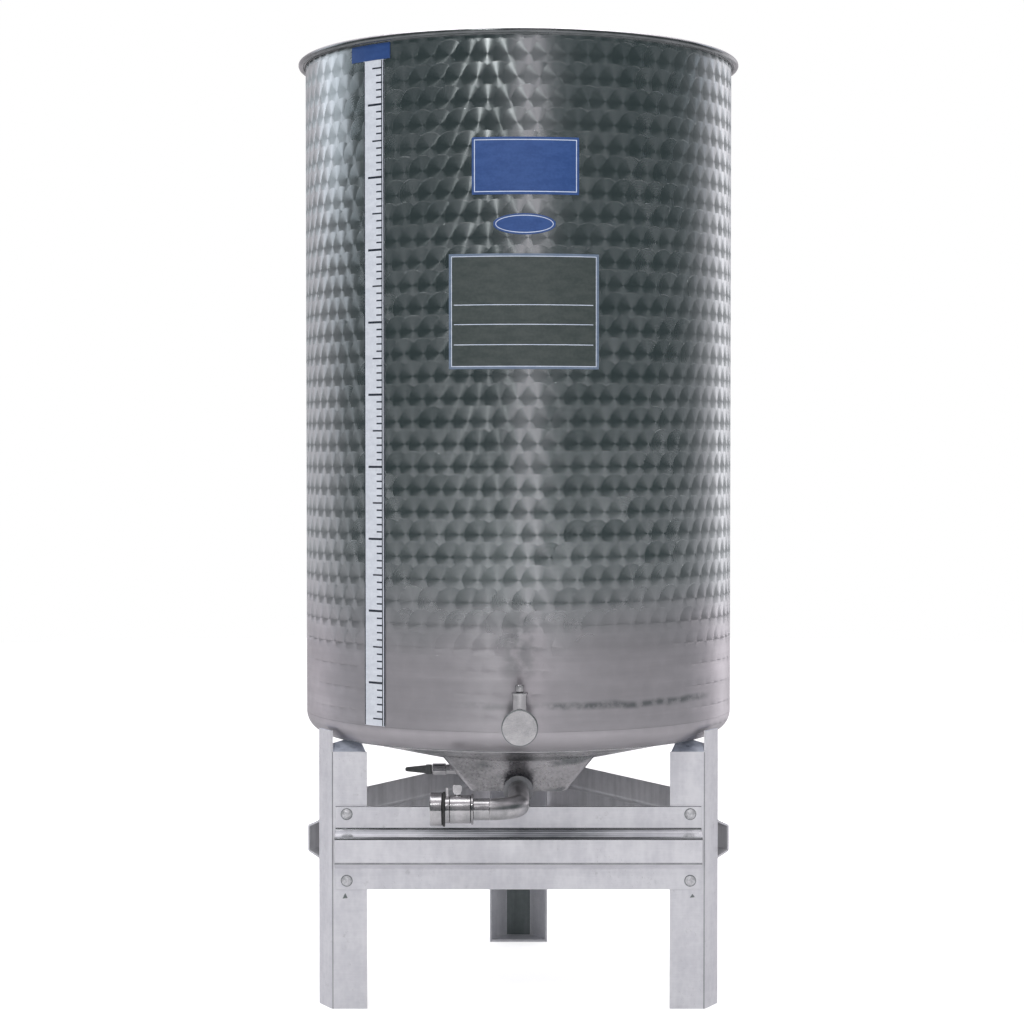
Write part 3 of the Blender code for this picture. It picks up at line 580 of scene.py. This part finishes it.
def stand_sheet():
    """Pale galvanised sheet with rolling lines, stains, scratches and worn edges."""
    g = Graph("stand_sheet", metallic=0.40)
    spangle = g.cells(g.stretch((1.0, 1.0, 0.6)), 160.0)
    lines = g.noise(g.stretch((40.0, 40.0, 500.0)), 1.0, 3.0)
    blotch = g.noise(g.place, 14.0, 5.0, 0.65)
    drips = g.noise(g.stretch((55.0, 55.0, 5.0)), 1.0, 4.0)
    worn = g.edges(0.0014)
    tone = g.math("ADD", g.math("MULTIPLY", blotch, 0.55), g.math("MULTIPLY", drips, 0.30))
    tone = g.math("ADD", tone, g.math("MULTIPLY", lines, 0.12))
    tone = g.math("ADD", tone, g.math("MULTIPLY", spangle, 0.10))
    tone = g.fit(tone, 0.38, 0.68)
    body = g.tint(tone, (0.66, 0.66, 0.70), (0.80, 0.80, 0.83))
    grime = g.fit(g.noise(g.place, 60.0, 6.0, 0.7), 0.60, 0.74)
    turned = g.node("ShaderNodeVectorRotate", rotation_type="AXIS_ANGLE")
    g.link(g.place, turned.inputs["Vector"])
    turned.inputs["Axis"].default_value = (0.45, 0.85, 0.25)
    turned.inputs["Angle"].default_value = radians(33)
    fine = g.noise(g.vector_math("MULTIPLY", turned.outputs[0], (700.0, 700.0, 9.0)), 1.0, 2.0)
    where = g.fit(g.noise(g.place, 11.0, 2.0), 0.50, 0.62)
    scratch = g.math("MULTIPLY", g.fit(fine, 0.66, 0.72), where)
    grime = g.math("MAXIMUM", grime, scratch)
    body = g.tint(g.math("MULTIPLY", grime, 0.35), body, (0.36, 0.36, 0.36))
    g.colour(g.tint(worn, body, (0.82, 0.82, 0.84)))
    g.roughness(g.math("MULTIPLY_ADD", blotch, 0.20, g.math("MULTIPLY_ADD", lines, 0.10, 0.28)))
    g.bump(g.math("MULTIPLY_ADD", spangle, 0.4, lines), 0.00008)
    return g.material


def film(name, dark, light):
    """A printed film with faint rubbing and dust."""
    g = Graph(name)
    rub = g.noise(g.stretch((40.0, 40.0, 120.0)), 1.0, 4.0, 0.6)
    dust = g.noise(g.place, 260.0, 3.0)
    tone = g.fit(g.math("MULTIPLY_ADD", dust, 0.35, g.math("MULTIPLY", rub, 0.65)), 0.32, 0.68)
    g.colour(g.tint(tone, dark, light))
    g.roughness(g.math("MULTIPLY_ADD", rub, 0.20, 0.34))
    g.bump(dust, 0.00003)
    return g.material


def rubber():
    """Dark gasket rubber, greyer where it is dusty."""
    g = Graph("gasket_rubber")
    dust = g.noise(g.place, 180.0, 4.0, 0.7)
    g.colour(g.tint(g.fit(dust, 0.4, 0.7), (0.016, 0.017, 0.017), (0.055, 0.056, 0.055)))
    g.roughness(g.fit(dust, 0.3, 0.7, 0.50, 0.75))
    g.bump(dust, 0.00008)
    return g.material


def bolt_zinc():
    """Dull zinc of the bolt heads and nuts, darker in the pits."""
    g = Graph("bolt_zinc", metallic=0.45)
    pits = g.noise(g.place, 420.0, 4.0, 0.7)
    worn = g.edges(0.0006)
    body = g.tint(g.fit(pits, 0.35, 0.65), (0.50, 0.505, 0.52), (0.76, 0.76, 0.78))
    g.colour(g.tint(worn, body, (0.78, 0.78, 0.80)))
    g.roughness(g.fit(pits, 0.3, 0.7, 0.30, 0.55))
    g.bump(pits, 0.00008)
    return g.material


def plain_stage(name, colour):
    """A plain matt surface for the floor, lit evenly from within."""
    g = Graph(name, Roughness=0.9)
    g.shader.inputs["Emission Color"].default_value = (1.0, 1.0, 1.0, 1.0)
    seen = g.node("ShaderNodeLightPath").outputs["Is Camera Ray"]
    glow = g.math("MULTIPLY_ADD", seen, FLOOR_SEEN_GLOW, FLOOR_GLOW)
    g.feed(g.shader.inputs["Emission Strength"], glow)
    cloud = g.noise(g.place, 1.2, 2.0)
    low = tuple(0.98 * value for value in colour)
    g.colour(g.tint(cloud, low, colour))
    return g.material


MATERIALS = {
    "wall": circle_brushed(),
    "stainless_trim": satin_steel(),
    "polished_fitting": turned_steel("turned_steel", 0.07),
    "bent_tube": turned_steel("bent_tube_steel", 0.24),
    "rim": rim_steel(),
    # Painted highlight on the ribs' upper shoulders.
    "shoulder_highlight": painted_highlight_bend(),
    "tab": tab_sheet(),
    # Three sheets in painted shade for the stand's darker faces; the darkest also serves the legs'
    # small marks.
    "dark_shade_and_marks": painted_shade_sheet("painted_shade_sheet", (0.110, 0.132, 0.132), (0.20, 0.225, 0.225)),
    "mid_shade": painted_shade_sheet("mid_shade_sheet", (0.26, 0.265, 0.28), (0.42, 0.425, 0.44)),
    "shaded": painted_shade_sheet("shaded_sheet", (0.47, 0.475, 0.49), (0.66, 0.66, 0.68)),
    "zinc_sheet": stand_sheet(),
    "white_film": film("white_film", (0.66, 0.70, 0.76), (0.78, 0.82, 0.88)),
    "blue_film": film("blue_film", (0.026, 0.070, 0.225), (0.040, 0.095, 0.280)),
    "dark_plate": film("dark_plate", (0.046, 0.060, 0.058), (0.070, 0.084, 0.080)),
    "gasket": rubber(),
    "bolt": bolt_zinc(),
    "lever": film("dark_satin_lever", (0.100, 0.108, 0.108), (0.190, 0.200, 0.198)),
    "dark_print": film("dark_print", (0.008, 0.013, 0.024), (0.022, 0.030, 0.048)),
    "pale_print": film("pale_print", (0.58, 0.66, 0.80), (0.72, 0.79, 0.90)),
    "grey_blue_print": film("grey_blue_print", (0.13, 0.18, 0.26), (0.18, 0.23, 0.31)),
}


def finish_object(name, bm, material, body, replaced=()):
    """Turns mesh data into a piece that rides on a body."""
    bmesh.ops.recalc_face_normals(bm, faces=bm.faces)
    mesh = bpy.data.meshes.new(name)
    bm.to_mesh(mesh)
    bm.free()
    mesh.shade_smooth()
    mesh.set_sharp_from_angle(angle=SHARP)
    mesh.materials.append(MATERIALS[material])
    piece = bpy.data.objects.new(name, mesh)
    bpy.context.scene.collection.objects.link(piece)
    if replaced:
        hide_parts(*replaced)
    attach(piece, body)
    return piece


def ring_surface(bm, loops, closed_profile=True, closed_round=True):
    """Quads between loops of points; each loop is one profile round the axis."""
    rows = [[bm.verts.new(point) for point in loop] for loop in loops]
    count = len(rows[0])
    last = len(rows) if closed_round else len(rows) - 1
    for index in range(last):
        here = rows[index]
        there = rows[(index + 1) % len(rows)]
        for step in range(count if closed_profile else count - 1):
            follow = (step + 1) % count
            bm.faces.new((here[step], there[step], there[follow], here[follow]))
    return rows


def on_wall(radius, angle, z):
    """A point by distance from the tank's axis and turn from the front."""
    return Vector((AXIS.x + radius * sin(angle), AXIS.y - radius * cos(angle), z))


def spun(name, profile, material, replaced):
    """A closed profile of (radius, height) turned right round the tank's axis."""
    bm = bmesh.new()
    loops = []
    for step in range(WALL_STEPS):
        angle = 2 * pi * step / WALL_STEPS
        loops.append([on_wall(radius, angle, z) for radius, z in profile])
    ring_surface(bm, loops)
    return finish_object(name, bm, material, "tank", replaced)


def build_wall():
    inner = WALL_RADIUS - WALL_SHEET
    heights = [WALL_BOTTOM + 0.0002, *WALL_HEIGHTS, RIM_LOW + 0.0003]
    profile = [(WALL_RADIUS, z) for z in heights] + [(inner, z) for z in reversed(heights)]
    wall = spun("tank_wall", profile, "wall", SHELL_NODES)

    def facing_in(normal, centre):
        return normal.x * (centre.x - AXIS.x) + normal.y * (centre.y - AXIS.y) < 0

    dress_faces(wall, "stainless_trim", facing_in)


def build_rim():
    """The rolled bead, with its small hem turned in under the roll."""
    inner = WALL_RADIUS - WALL_SHEET
    middle_z = RIM_TOP - RIM_TUBE
    centre = RIM_OUTER - RIM_TUBE
    profile = [
        (inner, RIM_LOW + 0.0005),
        (inner, RIM_TOP - 0.0016),
        (inner + 0.0006, RIM_TOP - 0.0004),
        (inner + 0.0018, RIM_TOP),
    ]
    for step in range(RIM_STEPS + 1):
        angle = pi / 2 - RIM_CURL * step / RIM_STEPS
        profile.append((centre + RIM_TUBE * cos(angle), middle_z + RIM_TUBE * sin(angle)))
    profile.append((WALL_RADIUS + 0.0008, middle_z - 0.0018))
    profile.append((WALL_RADIUS + 0.0001, RIM_LOW + 0.0005))
    spun("tank_rim", profile, "rim", ["rim"])


def build_knuckle():
    turns = [KNUCKLE_TURN * step / KNUCKLE_STEPS for step in range(KNUCKLE_STEPS + 1)]
    centre_r = WALL_RADIUS - KNUCKLE_RADIUS
    profile = []
    for radius, order in ((KNUCKLE_RADIUS, turns), (KNUCKLE_RADIUS - WALL_SHEET, turns[::-1])):
        for turn in order:
            profile.append((centre_r + radius * cos(turn), WALL_BOTTOM - radius * sin(turn)))
    spun("tank_knuckle", profile, "wall", ["bottom_knuckle"])


def circle_profile(radius, z, size, steps):
    """Points round a small circle in the (radius, height) plane."""
    angles = [2 * pi * step / steps for step in range(steps)]
    return [(radius + size * cos(angle), z + size * sin(angle)) for angle in angles]


def build_bottom_seam():
    """A weld bead where the cone meets the rounded corner, with a dark ring above it as a painted
    shadow.
    """
    radius, z = SEAM_RING
    bead = circle_profile(radius, z - SEAM_BEAD_DROP, SEAM_BEAD, SEAM_BEAD_STEPS)
    spun("bottom_seam", bead, "polished_fitting", [])
    # The dark ring above the bead is a painted shadow.
    line = circle_profile(radius + SEAM_SHADOW_OUT, z + SEAM_SHADOW_UP, SEAM_SHADOW, SEAM_SHADOW_STEPS)
    spun("bottom_seam_shadow", line, "dark_shade_and_marks", [])


def build_nicks():
    """Small dark punched marks on the front legs, below the bar."""
    bm = bmesh.new()
    for side, tall in NICK_TALL.items():
        corners = ((NICK_LEFT, -tall / 2), (NICK_RIGHT, -tall / 2 + NICK_LIFT),
                   (NICK_TIP, tall / 2))
        back, front = [
            [bm.verts.new((side * NICK_X + x, NICK_FACE_Y + depth, NICK_Z + z)) for x, z in corners]
            for depth in NICK_DEPTHS
        ]
        bm.faces.new(back)
        bm.faces.new(front[::-1])
        for step in range(len(corners)):
            follow = (step + 1) % len(corners)
            bm.faces.new((back[step], front[step], front[follow], back[follow]))
    finish_object("leg_nicks", bm, "dark_shade_and_marks", "tank")


def build_back_seam():
    """The weld line up the back, where the rolled sheet meets itself."""
    bm = bmesh.new()
    half = SEAM_WIDTH / 2 / WALL_RADIUS
    loops = []
    run = RIM_LOW - WALL_BOTTOM - 2 * SEAM_END_GAP
    for step in range(SEAM_STEPS + 1):
        z = WALL_BOTTOM + SEAM_END_GAP + run * step / SEAM_STEPS
        proud = SEAM_PROUD * (0.75 + 0.25 * cos(step * pi))
        loop = []
        for share in SEAM_SHARES:
            radius = WALL_RADIUS + proud * (1 - share * share) - SEAM_EDGE_SINK * abs(share)
            loop.append(on_wall(radius, pi + half * share, z))
        loop += [on_wall(WALL_RADIUS - SEAM_SINK, pi + half * share, z) for share in (1.0, -1.0)]
        loops.append(loop)
    rows = ring_surface(bm, loops, closed_round=False)
    bm.faces.new(rows[0])
    bm.faces.new(rows[-1])
    finish_object("wall_back_seam", bm, "stainless_trim", "tank")


def curved_patch(bm, angles, heights):
    """A thin printed patch that follows the wall, just proud of its film."""
    steps = max(1, ceil(abs(angles[1] - angles[0]) / PRINT_STEP))
    near = FILM_OUTER - PRINT_SINK
    far = FILM_OUTER + PRINT_HEIGHT
    loops = []
    for step in range(steps + 1):
        angle = angles[0] + (angles[1] - angles[0]) * step / steps
        corners = ((near, heights[0]), (near, heights[1]), (far, heights[1]), (far, heights[0]))
        loops.append([on_wall(radius, angle, z) for radius, z in corners])
    rows = ring_surface(bm, loops, closed_round=False)
    bm.faces.new(rows[0][::-1])
    bm.faces.new(rows[-1])


def build_ruler_marks():
    bm = bmesh.new()
    for index in range(TICK_COUNT):
        z = TICK_BOTTOM + index * TICK_SPACING
        phase = (index + TICK_LONG_PHASE) % TICKS_TO_LONG
        turn, tall = TICK_TURN_SHORT, TICK_HEIGHT
        if phase == 0:
            turn, tall = TICK_TURN_LONG, TICK_HEIGHT_LONG
        elif phase == TICKS_TO_MIDDLE:
            turn = TICK_TURN_MIDDLE
        curved_patch(bm, (RULER_EDGE - turn, RULER_EDGE), (z - tall / 2, z + tall / 2))
    for side in (RULER_EDGE, *RULER_SIDES):
        curved_patch(bm, (side, side + RULER_LINE), RULER_LINE_HEIGHTS)
    finish_object("ruler_marks", bm, "dark_print", "tank")


def frame_lines(bm, extent, heights, width):
    """A printed rectangle outline on the wall, by its sideways reach and heights."""
    left, right = (asin(value / WALL_RADIUS) for value in extent)
    thin = width / WALL_RADIUS
    curved_patch(bm, (left, right), (heights[1] - width, heights[1]))
    curved_patch(bm, (left, right), (heights[0], heights[0] + width))
    inner = (heights[0] + width, heights[1] - width)
    curved_patch(bm, (left, left + thin), inner)
    curved_patch(bm, (right - thin, right), inner)


def build_label_outline():
    bm = bmesh.new()
    frame_lines(bm, LABEL_FRAME_X, LABEL_FRAME_HEIGHTS, LABEL_FRAME_WIDTH)
    finish_object("label_outline", bm, "pale_print", "tank")


def build_oval_outline():
    """A thin raised ring that follows the oval's edge."""
    left, right = (asin(value / WALL_RADIUS) for value in OVAL_EXTENT_X)
    middle_angle = (left + right) / 2
    half_turn = OVAL_LINE_HALF_RUN / WALL_RADIUS
    low = FILM_OUTER - PRINT_SINK
    high = FILM_OUTER + PRINT_HEIGHT
    section = ((low, 0.0), (high, 0.0), (high, OVAL_LINE_WIDTH), (low, OVAL_LINE_WIDTH))
    bm = bmesh.new()
    loops = []
    for step in range(OVAL_LINE_STEPS):
        angle = 2 * pi * step / OVAL_LINE_STEPS
        loop = []
        for radius, inset in section:
            turn = middle_angle + (half_turn - inset / WALL_RADIUS) * cos(angle)
            rise = (OVAL_LINE_HALF_HEIGHT - inset) * sin(angle)
            loop.append(on_wall(radius, turn, OVAL_MIDDLE_Z + rise))
        loops.append(loop)
    ring_surface(bm, loops)
    finish_object("oval_outline", bm, "pale_print", "tank")


def build_plate_prints():
    """The data plate's border, and the thin frame and ruled lines inside it."""
    bm = bmesh.new()
    frame_lines(bm, PLATE_BORDER_X, PLATE_BORDER_HEIGHTS, PLATE_BORDER_WIDTH)
    finish_object("plate_border", bm, "grey_blue_print", "tank")
    bm = bmesh.new()
    frame_lines(bm, PLATE_FRAME_X, PLATE_FRAME_HEIGHTS, PLATE_FRAME_WIDTH)
    reach = [asin(value / WALL_RADIUS) for value in PLATE_RULE_X]
    for z in PLATE_RULE_HEIGHTS:
        curved_patch(bm, reach, (z - PLATE_RULE_HALF, z + PLATE_RULE_HALF))
    finish_object("plate_rules", bm, "pale_print", "tank")


def refined(node, material=None, bevel=0.0006, segments=2):
    """A CAD solid's own shape with softened edges and a finished surface."""
    bm = bmesh.new()
    bm.from_mesh(frame["nodes"][node].data)
    bmesh.ops.remove_doubles(bm, verts=bm.verts, dist=1e-6)
    bmesh.ops.dissolve_limit(bm, angle_limit=radians(0.4), verts=bm.verts, edges=bm.edges)
    if bevel:
        sharp = [edge for edge in bm.edges
                 if len(edge.link_faces) == 2 and edge.calc_face_angle() > SHARP]
        bmesh.ops.bevel(bm, geom=sharp, offset=bevel, segments=segments, profile=0.5,
                        affect="EDGES", clamp_overlap=True)
    slot = next(part["material_slot"] for part in RECORD["subparts"] if part["node"] == node)
    body = next(name for name, nodes in BODIES.items() if node in nodes)
    piece = finish_object(f"{node}_fine", bm, material or slot, body, [node])
    if bevel:
        even = piece.modifiers.new("even_normals", "WEIGHTED_NORMAL")
        even.keep_sharp = True
    return piece


def dress_faces(piece, material, wanted):
    """Gives a second surface to the faces that wanted() picks."""
    mesh = piece.data
    mesh.materials.append(MATERIALS[material])
    index = len(mesh.materials) - 1
    for face in mesh.polygons:
        if wanted(face.normal, face.center):
            face.material_index = index


def dress_stand(pieces):
    """Painted highlight on the ribs' upper bends, and painted shade on the stand's inner faces,
    creases and channels and on the tap disc's sides.
    """
    for place, degrees in BAR_TURN.items():
        outward = Vector((cos(radians(degrees)), sin(radians(degrees)), 0))
        piece = pieces[f"bar_{place}"]
        along = Vector((-outward.y, outward.x, 0))

        def shoulder(normal, _):
            return normal.z > 0.12 and normal.dot(outward) > 0.05

        def under(normal, centre):
            lower_bend = -0.7 < normal.z < -0.12 and normal.dot(outward) > 0.05
            return lower_bend and (centre - AXIS).dot(outward) > RIB_MIDDLE

        def in_channel(normal, centre):
            return normal.dot(outward) < -0.1 and (centre - AXIS).dot(outward) > CHANNEL_START

        def at_end(_, centre):
            deep = (centre - AXIS).dot(outward) > CHANNEL_START
            return place != "front" and deep and abs(centre.dot(along)) > BAR_END

        def inward(normal, _):
            return place != "front" and normal.dot(outward) < -0.5

        # Painted highlight on the upper shoulder; painted shade on the lower bend, on the side
        # bars' inner faces and rib ends, and inside the channels.
        dress_faces(piece, "shoulder_highlight", shoulder)
        dress_faces(piece, "mid_shade", under)
        for wanted in (inward, at_end, in_channel):
            dress_faces(piece, "shaded", wanted)
    # The back leg's front-facing web is painted dark as shade.
    dress_faces(pieces["leg_back"], "dark_shade_and_marks", lambda normal, _: normal.y < -0.9)

    def in_bend(normal, _):
        return normal.y < -0.9 and 0.05 < abs(normal.x) < 0.4

    def on_tab(normal, centre):
        return centre.z > TAB_START and abs(normal.z) > 0.2

    # Painted shade along the front legs' bends.
    for place in ("leg_front_left", "leg_front_right"):
        dress_faces(pieces[place], "mid_shade", in_bend)
    for name, piece in pieces.items():
        if name.startswith("leg"):
            dress_faces(piece, "tab", on_tab)
    # The tap disc's sloping sides are painted dark as shade.
    dress_faces(pieces["tap_disc"], "dark_shade_and_marks", lambda normal, _: -0.95 < normal.y < -0.2)


def build_refined():
    skipped = set(SHELL_NODES) | {"rim", "bottom_knuckle"}
    films = {"ruler_strip", "ruler_header", "label_rectangle", "label_oval", "data_plate"}
    stand = {"leg", "foot", "bar"}
    made = {}
    for node in sorted(frame["nodes"]):
        if node in skipped:
            continue
        if node in films:
            made[node] = refined(node, bevel=0.0002, segments=1)
        elif node.split("_")[0] in stand:
            made[node] = refined(node, bevel=0.0008, segments=3)
        elif node in ("bottom_dish", "funnel"):
            made[node] = refined(node, bevel=0.0003, segments=1)
        elif node == "drain_elbow":
            made[node] = refined(node, "bent_tube", bevel=0.0004, segments=2)
        # The collar takes the mid painted-shade sheet, darker than its steel.
        elif node == "drain_collar":
            made[node] = refined(node, "mid_shade", bevel=0.0004, segments=2)
        else:
            made[node] = refined(node, bevel=0.0004, segments=2)
    dress_stand(made)


def turned_on(bm, base, direction, profile, sides):
    """Adds a solid turned round a line, from (distance along, radius) points."""
    direction = direction.normalized()
    across = direction.cross(Vector((0, 0, 1))).normalized()
    upward = across.cross(direction)
    loops = []
    for step in range(sides):
        angle = 2 * pi * (step + 0.5) / sides
        outward = across * cos(angle) + upward * sin(angle)
        loops.append([base + direction * along + outward * radius for along, radius in profile])
    rows = ring_surface(bm, loops, closed_profile=False)
    bm.faces.new([row[0] for row in rows])
    bm.faces.new([row[-1] for row in rows][::-1])


def domed_profile(radius, rise, start, steps=6):
    """A low dome, from its rim to its middle."""
    sphere = (radius * radius + rise * rise) / (2 * rise)
    points = [(start, radius)]
    for step in range(1, steps):
        reach = radius * (1 - step / steps)
        points.append((start + rise - sphere + sqrt(sphere * sphere - reach * reach), reach))
    return points


def add_bolt(bm, rings, middle, normal):
    """A domed head in front, ringed by a thin dark painted shadow, and a washer, nut and shank end
    behind.
    """
    face = middle + normal * BOLT_FACE
    # A thin dark ring round the head's foot: a painted shadow.
    shade_ring = [(depth, BOLT_RADIUS + BOLT_SHADE_RING) for depth in BOLT_SHADE_DEPTHS]
    turned_on(rings, face, normal, shade_ring, ROUND_SIDES)
    head = [(0.0, BOLT_RADIUS)]
    head += domed_profile(BOLT_RADIUS, BOLT_RISE - BOLT_EDGE, BOLT_EDGE)
    turned_on(bm, face, normal, head, ROUND_SIDES)
    inside = middle + normal * BOLT_BACK
    washer = [(0.0, WASHER_RADIUS), (WASHER_HEIGHT, WASHER_RADIUS)]
    turned_on(bm, inside, -normal, washer, ROUND_SIDES)
    nut_base = inside - normal * WASHER_HEIGHT
    nut = [
        (0.0, NUT_RADIUS),
        (NUT_HEIGHT - NUT_CHAMFER_HEIGHT, NUT_RADIUS),
        (NUT_HEIGHT, NUT_RADIUS - NUT_CHAMFER),
    ]
    turned_on(bm, nut_base, -normal, nut, 6)
    shank = [(0.0, SHANK_RADIUS), (SHANK_LENGTH, SHANK_RADIUS)]
    turned_on(bm, nut_base - normal * NUT_HEIGHT, -normal, shank, 20)


def build_bolts():
    for place, degrees in BAR_TURN.items():
        bm = bmesh.new()
        rings = bmesh.new()
        normal = Vector((cos(radians(degrees)), sin(radians(degrees)), 0))
        along = Vector((-normal.y, normal.x, 0))
        for side in (-1, 1):
            for z in BOLT_HEIGHTS:
                lift = Vector((0, 0, z + BOLT_LIFT[place]))
                add_bolt(bm, rings, AXIS + along * BOLT_ALONG * side + lift, normal)
        finish_object(f"bar_bolts_{place}", bm, "bolt", "tank")
        # The rings round the heads are painted shadow.
        finish_object(f"bar_bolt_shade_rings_{place}", rings, "dark_shade_and_marks", "tank")


def build_stage():
    bm = bmesh.new()
    bmesh.ops.create_circle(bm, cap_ends=True, radius=FLOOR_RADIUS, segments=FLOOR_SIDES)
    mesh = bpy.data.meshes.new("floor")
    bm.to_mesh(mesh)
    bm.free()
    mesh.materials.append(plain_stage("floor_pale", FLOOR_COLOUR))
    floor_piece = bpy.data.objects.new("floor", mesh)
    bpy.context.scene.collection.objects.link(floor_piece)


def build_world():
    """White all round for the eye; dark in front for reflections, as in a studio."""
    world = bpy.data.worlds.new("studio")
    bpy.context.scene.world = world
    world.use_nodes = True
    tree = world.node_tree
    tree.nodes.clear()
    coordinate = tree.nodes.new("ShaderNodeTexCoord")
    split = tree.nodes.new("ShaderNodeSeparateXYZ")
    tree.links.new(coordinate.outputs["Generated"], split.inputs[0])
    ramps = []
    for axis, (low, high) in ((1, ROOM_BACK_RAMP), (2, ROOM_TOP_RAMP)):
        ramp = tree.nodes.new("ShaderNodeMapRange")
        ramp.interpolation_type = "SMOOTHSTEP"
        ramp.inputs["From Min"].default_value = low
        ramp.inputs["From Max"].default_value = high
        tree.links.new(split.outputs[axis], ramp.inputs["Value"])
        ramps.append(ramp.outputs["Result"])
    brighter = tree.nodes.new("ShaderNodeMath")
    brighter.operation = "MAXIMUM"
    tree.links.new(ramps[0], brighter.inputs[0])
    tree.links.new(ramps[1], brighter.inputs[1])
    room = tree.nodes.new("ShaderNodeMix")
    room.data_type = "RGBA"
    room.inputs[6].default_value = (*ROOM_DARK, 1)
    room.inputs[7].default_value = (*ROOM_BRIGHT, 1)
    tree.links.new(brighter.outputs[0], room.inputs[0])
    path = tree.nodes.new("ShaderNodeLightPath")
    seen = tree.nodes.new("ShaderNodeMix")
    seen.data_type = "RGBA"
    seen.inputs[7].default_value = (1.0, 1.0, 1.0, 1)
    tree.links.new(path.outputs["Is Camera Ray"], seen.inputs[0])
    tree.links.new(room.outputs[2], seen.inputs[6])
    background = tree.nodes.new("ShaderNodeBackground")
    tree.links.new(seen.outputs[2], background.inputs["Color"])
    output = tree.nodes.new("ShaderNodeOutputWorld")
    tree.links.new(background.outputs[0], output.inputs["Surface"])


def add_light(name, place, target, size, power, colour=(1, 1, 1), shown=True):
    """A soft rectangular light aimed at a point."""
    data = bpy.data.lights.new(name, "AREA")
    data.shape = "RECTANGLE"
    data.size, data.size_y = size
    data.energy = power
    data.color = colour
    light = bpy.data.objects.new(name, data)
    light.location = place
    light.rotation_euler = (Vector(target) - Vector(place)).to_track_quat("-Z", "Y").to_euler()
    light.visible_glossy = shown
    bpy.context.scene.collection.objects.link(light)


def build_lights():
    add_light("key_light", (-1.0, -3.3, 3.3), (0, 0, 0.9), (0.42, 0.42), 27)
    add_light("front_fill", (0.4, -7.5, 2.4), (0, 0, 0.6), (3.5, 3.0), 175, shown=False)
    add_light("front_glow", (0.46, -5.0, 1.95), (0, 0, 0.9), (1.25, 2.7), 5.4, (1.0, 0.88, 0.94))
    add_light("top_light", (0.0, 0.2, 4.2), (0, 0, 0.5), (3.5, 3.5), 60)
    add_light("right_strip", (2.3, 2.6, 1.2), (0, 0, 1.0), (1.3, 2.2), 8.5, (1.0, 0.97, 1.0))
    add_light("right_top_strip", (2.5, 1.5, 2.6), (0, 0, 1.2), (0.8, 1.0), 3.2, (0.70, 0.84, 1.0))
    add_light("left_strip", (-2.5, 1.1, 2.2), (0, 0, 1.2), (1.3, 1.5), 9.5, (0.86, 0.91, 1.0))


def build_camera():
    data = bpy.data.cameras.new("photo_camera")
    data.lens = CAMERA_LENS
    data.shift_x = CAMERA_SHIFT
    camera = bpy.data.objects.new("photo_camera", data)
    camera.location = CAMERA_PLACE
    camera.rotation_euler = (CAMERA_PITCH, 0, 0)
    bpy.context.scene.collection.objects.link(camera)
    bpy.context.scene.camera = camera


build_wall()
build_rim()
build_knuckle()
build_back_seam()
build_bottom_seam()
build_nicks()
build_ruler_marks()
build_label_outline()
build_oval_outline()
build_plate_prints()
build_refined()
build_bolts()
build_stage()
build_world()
build_lights()
build_camera()
bpy.context.scene.view_settings.view_transform = "Standard"

bpy.context.view_layer.update()
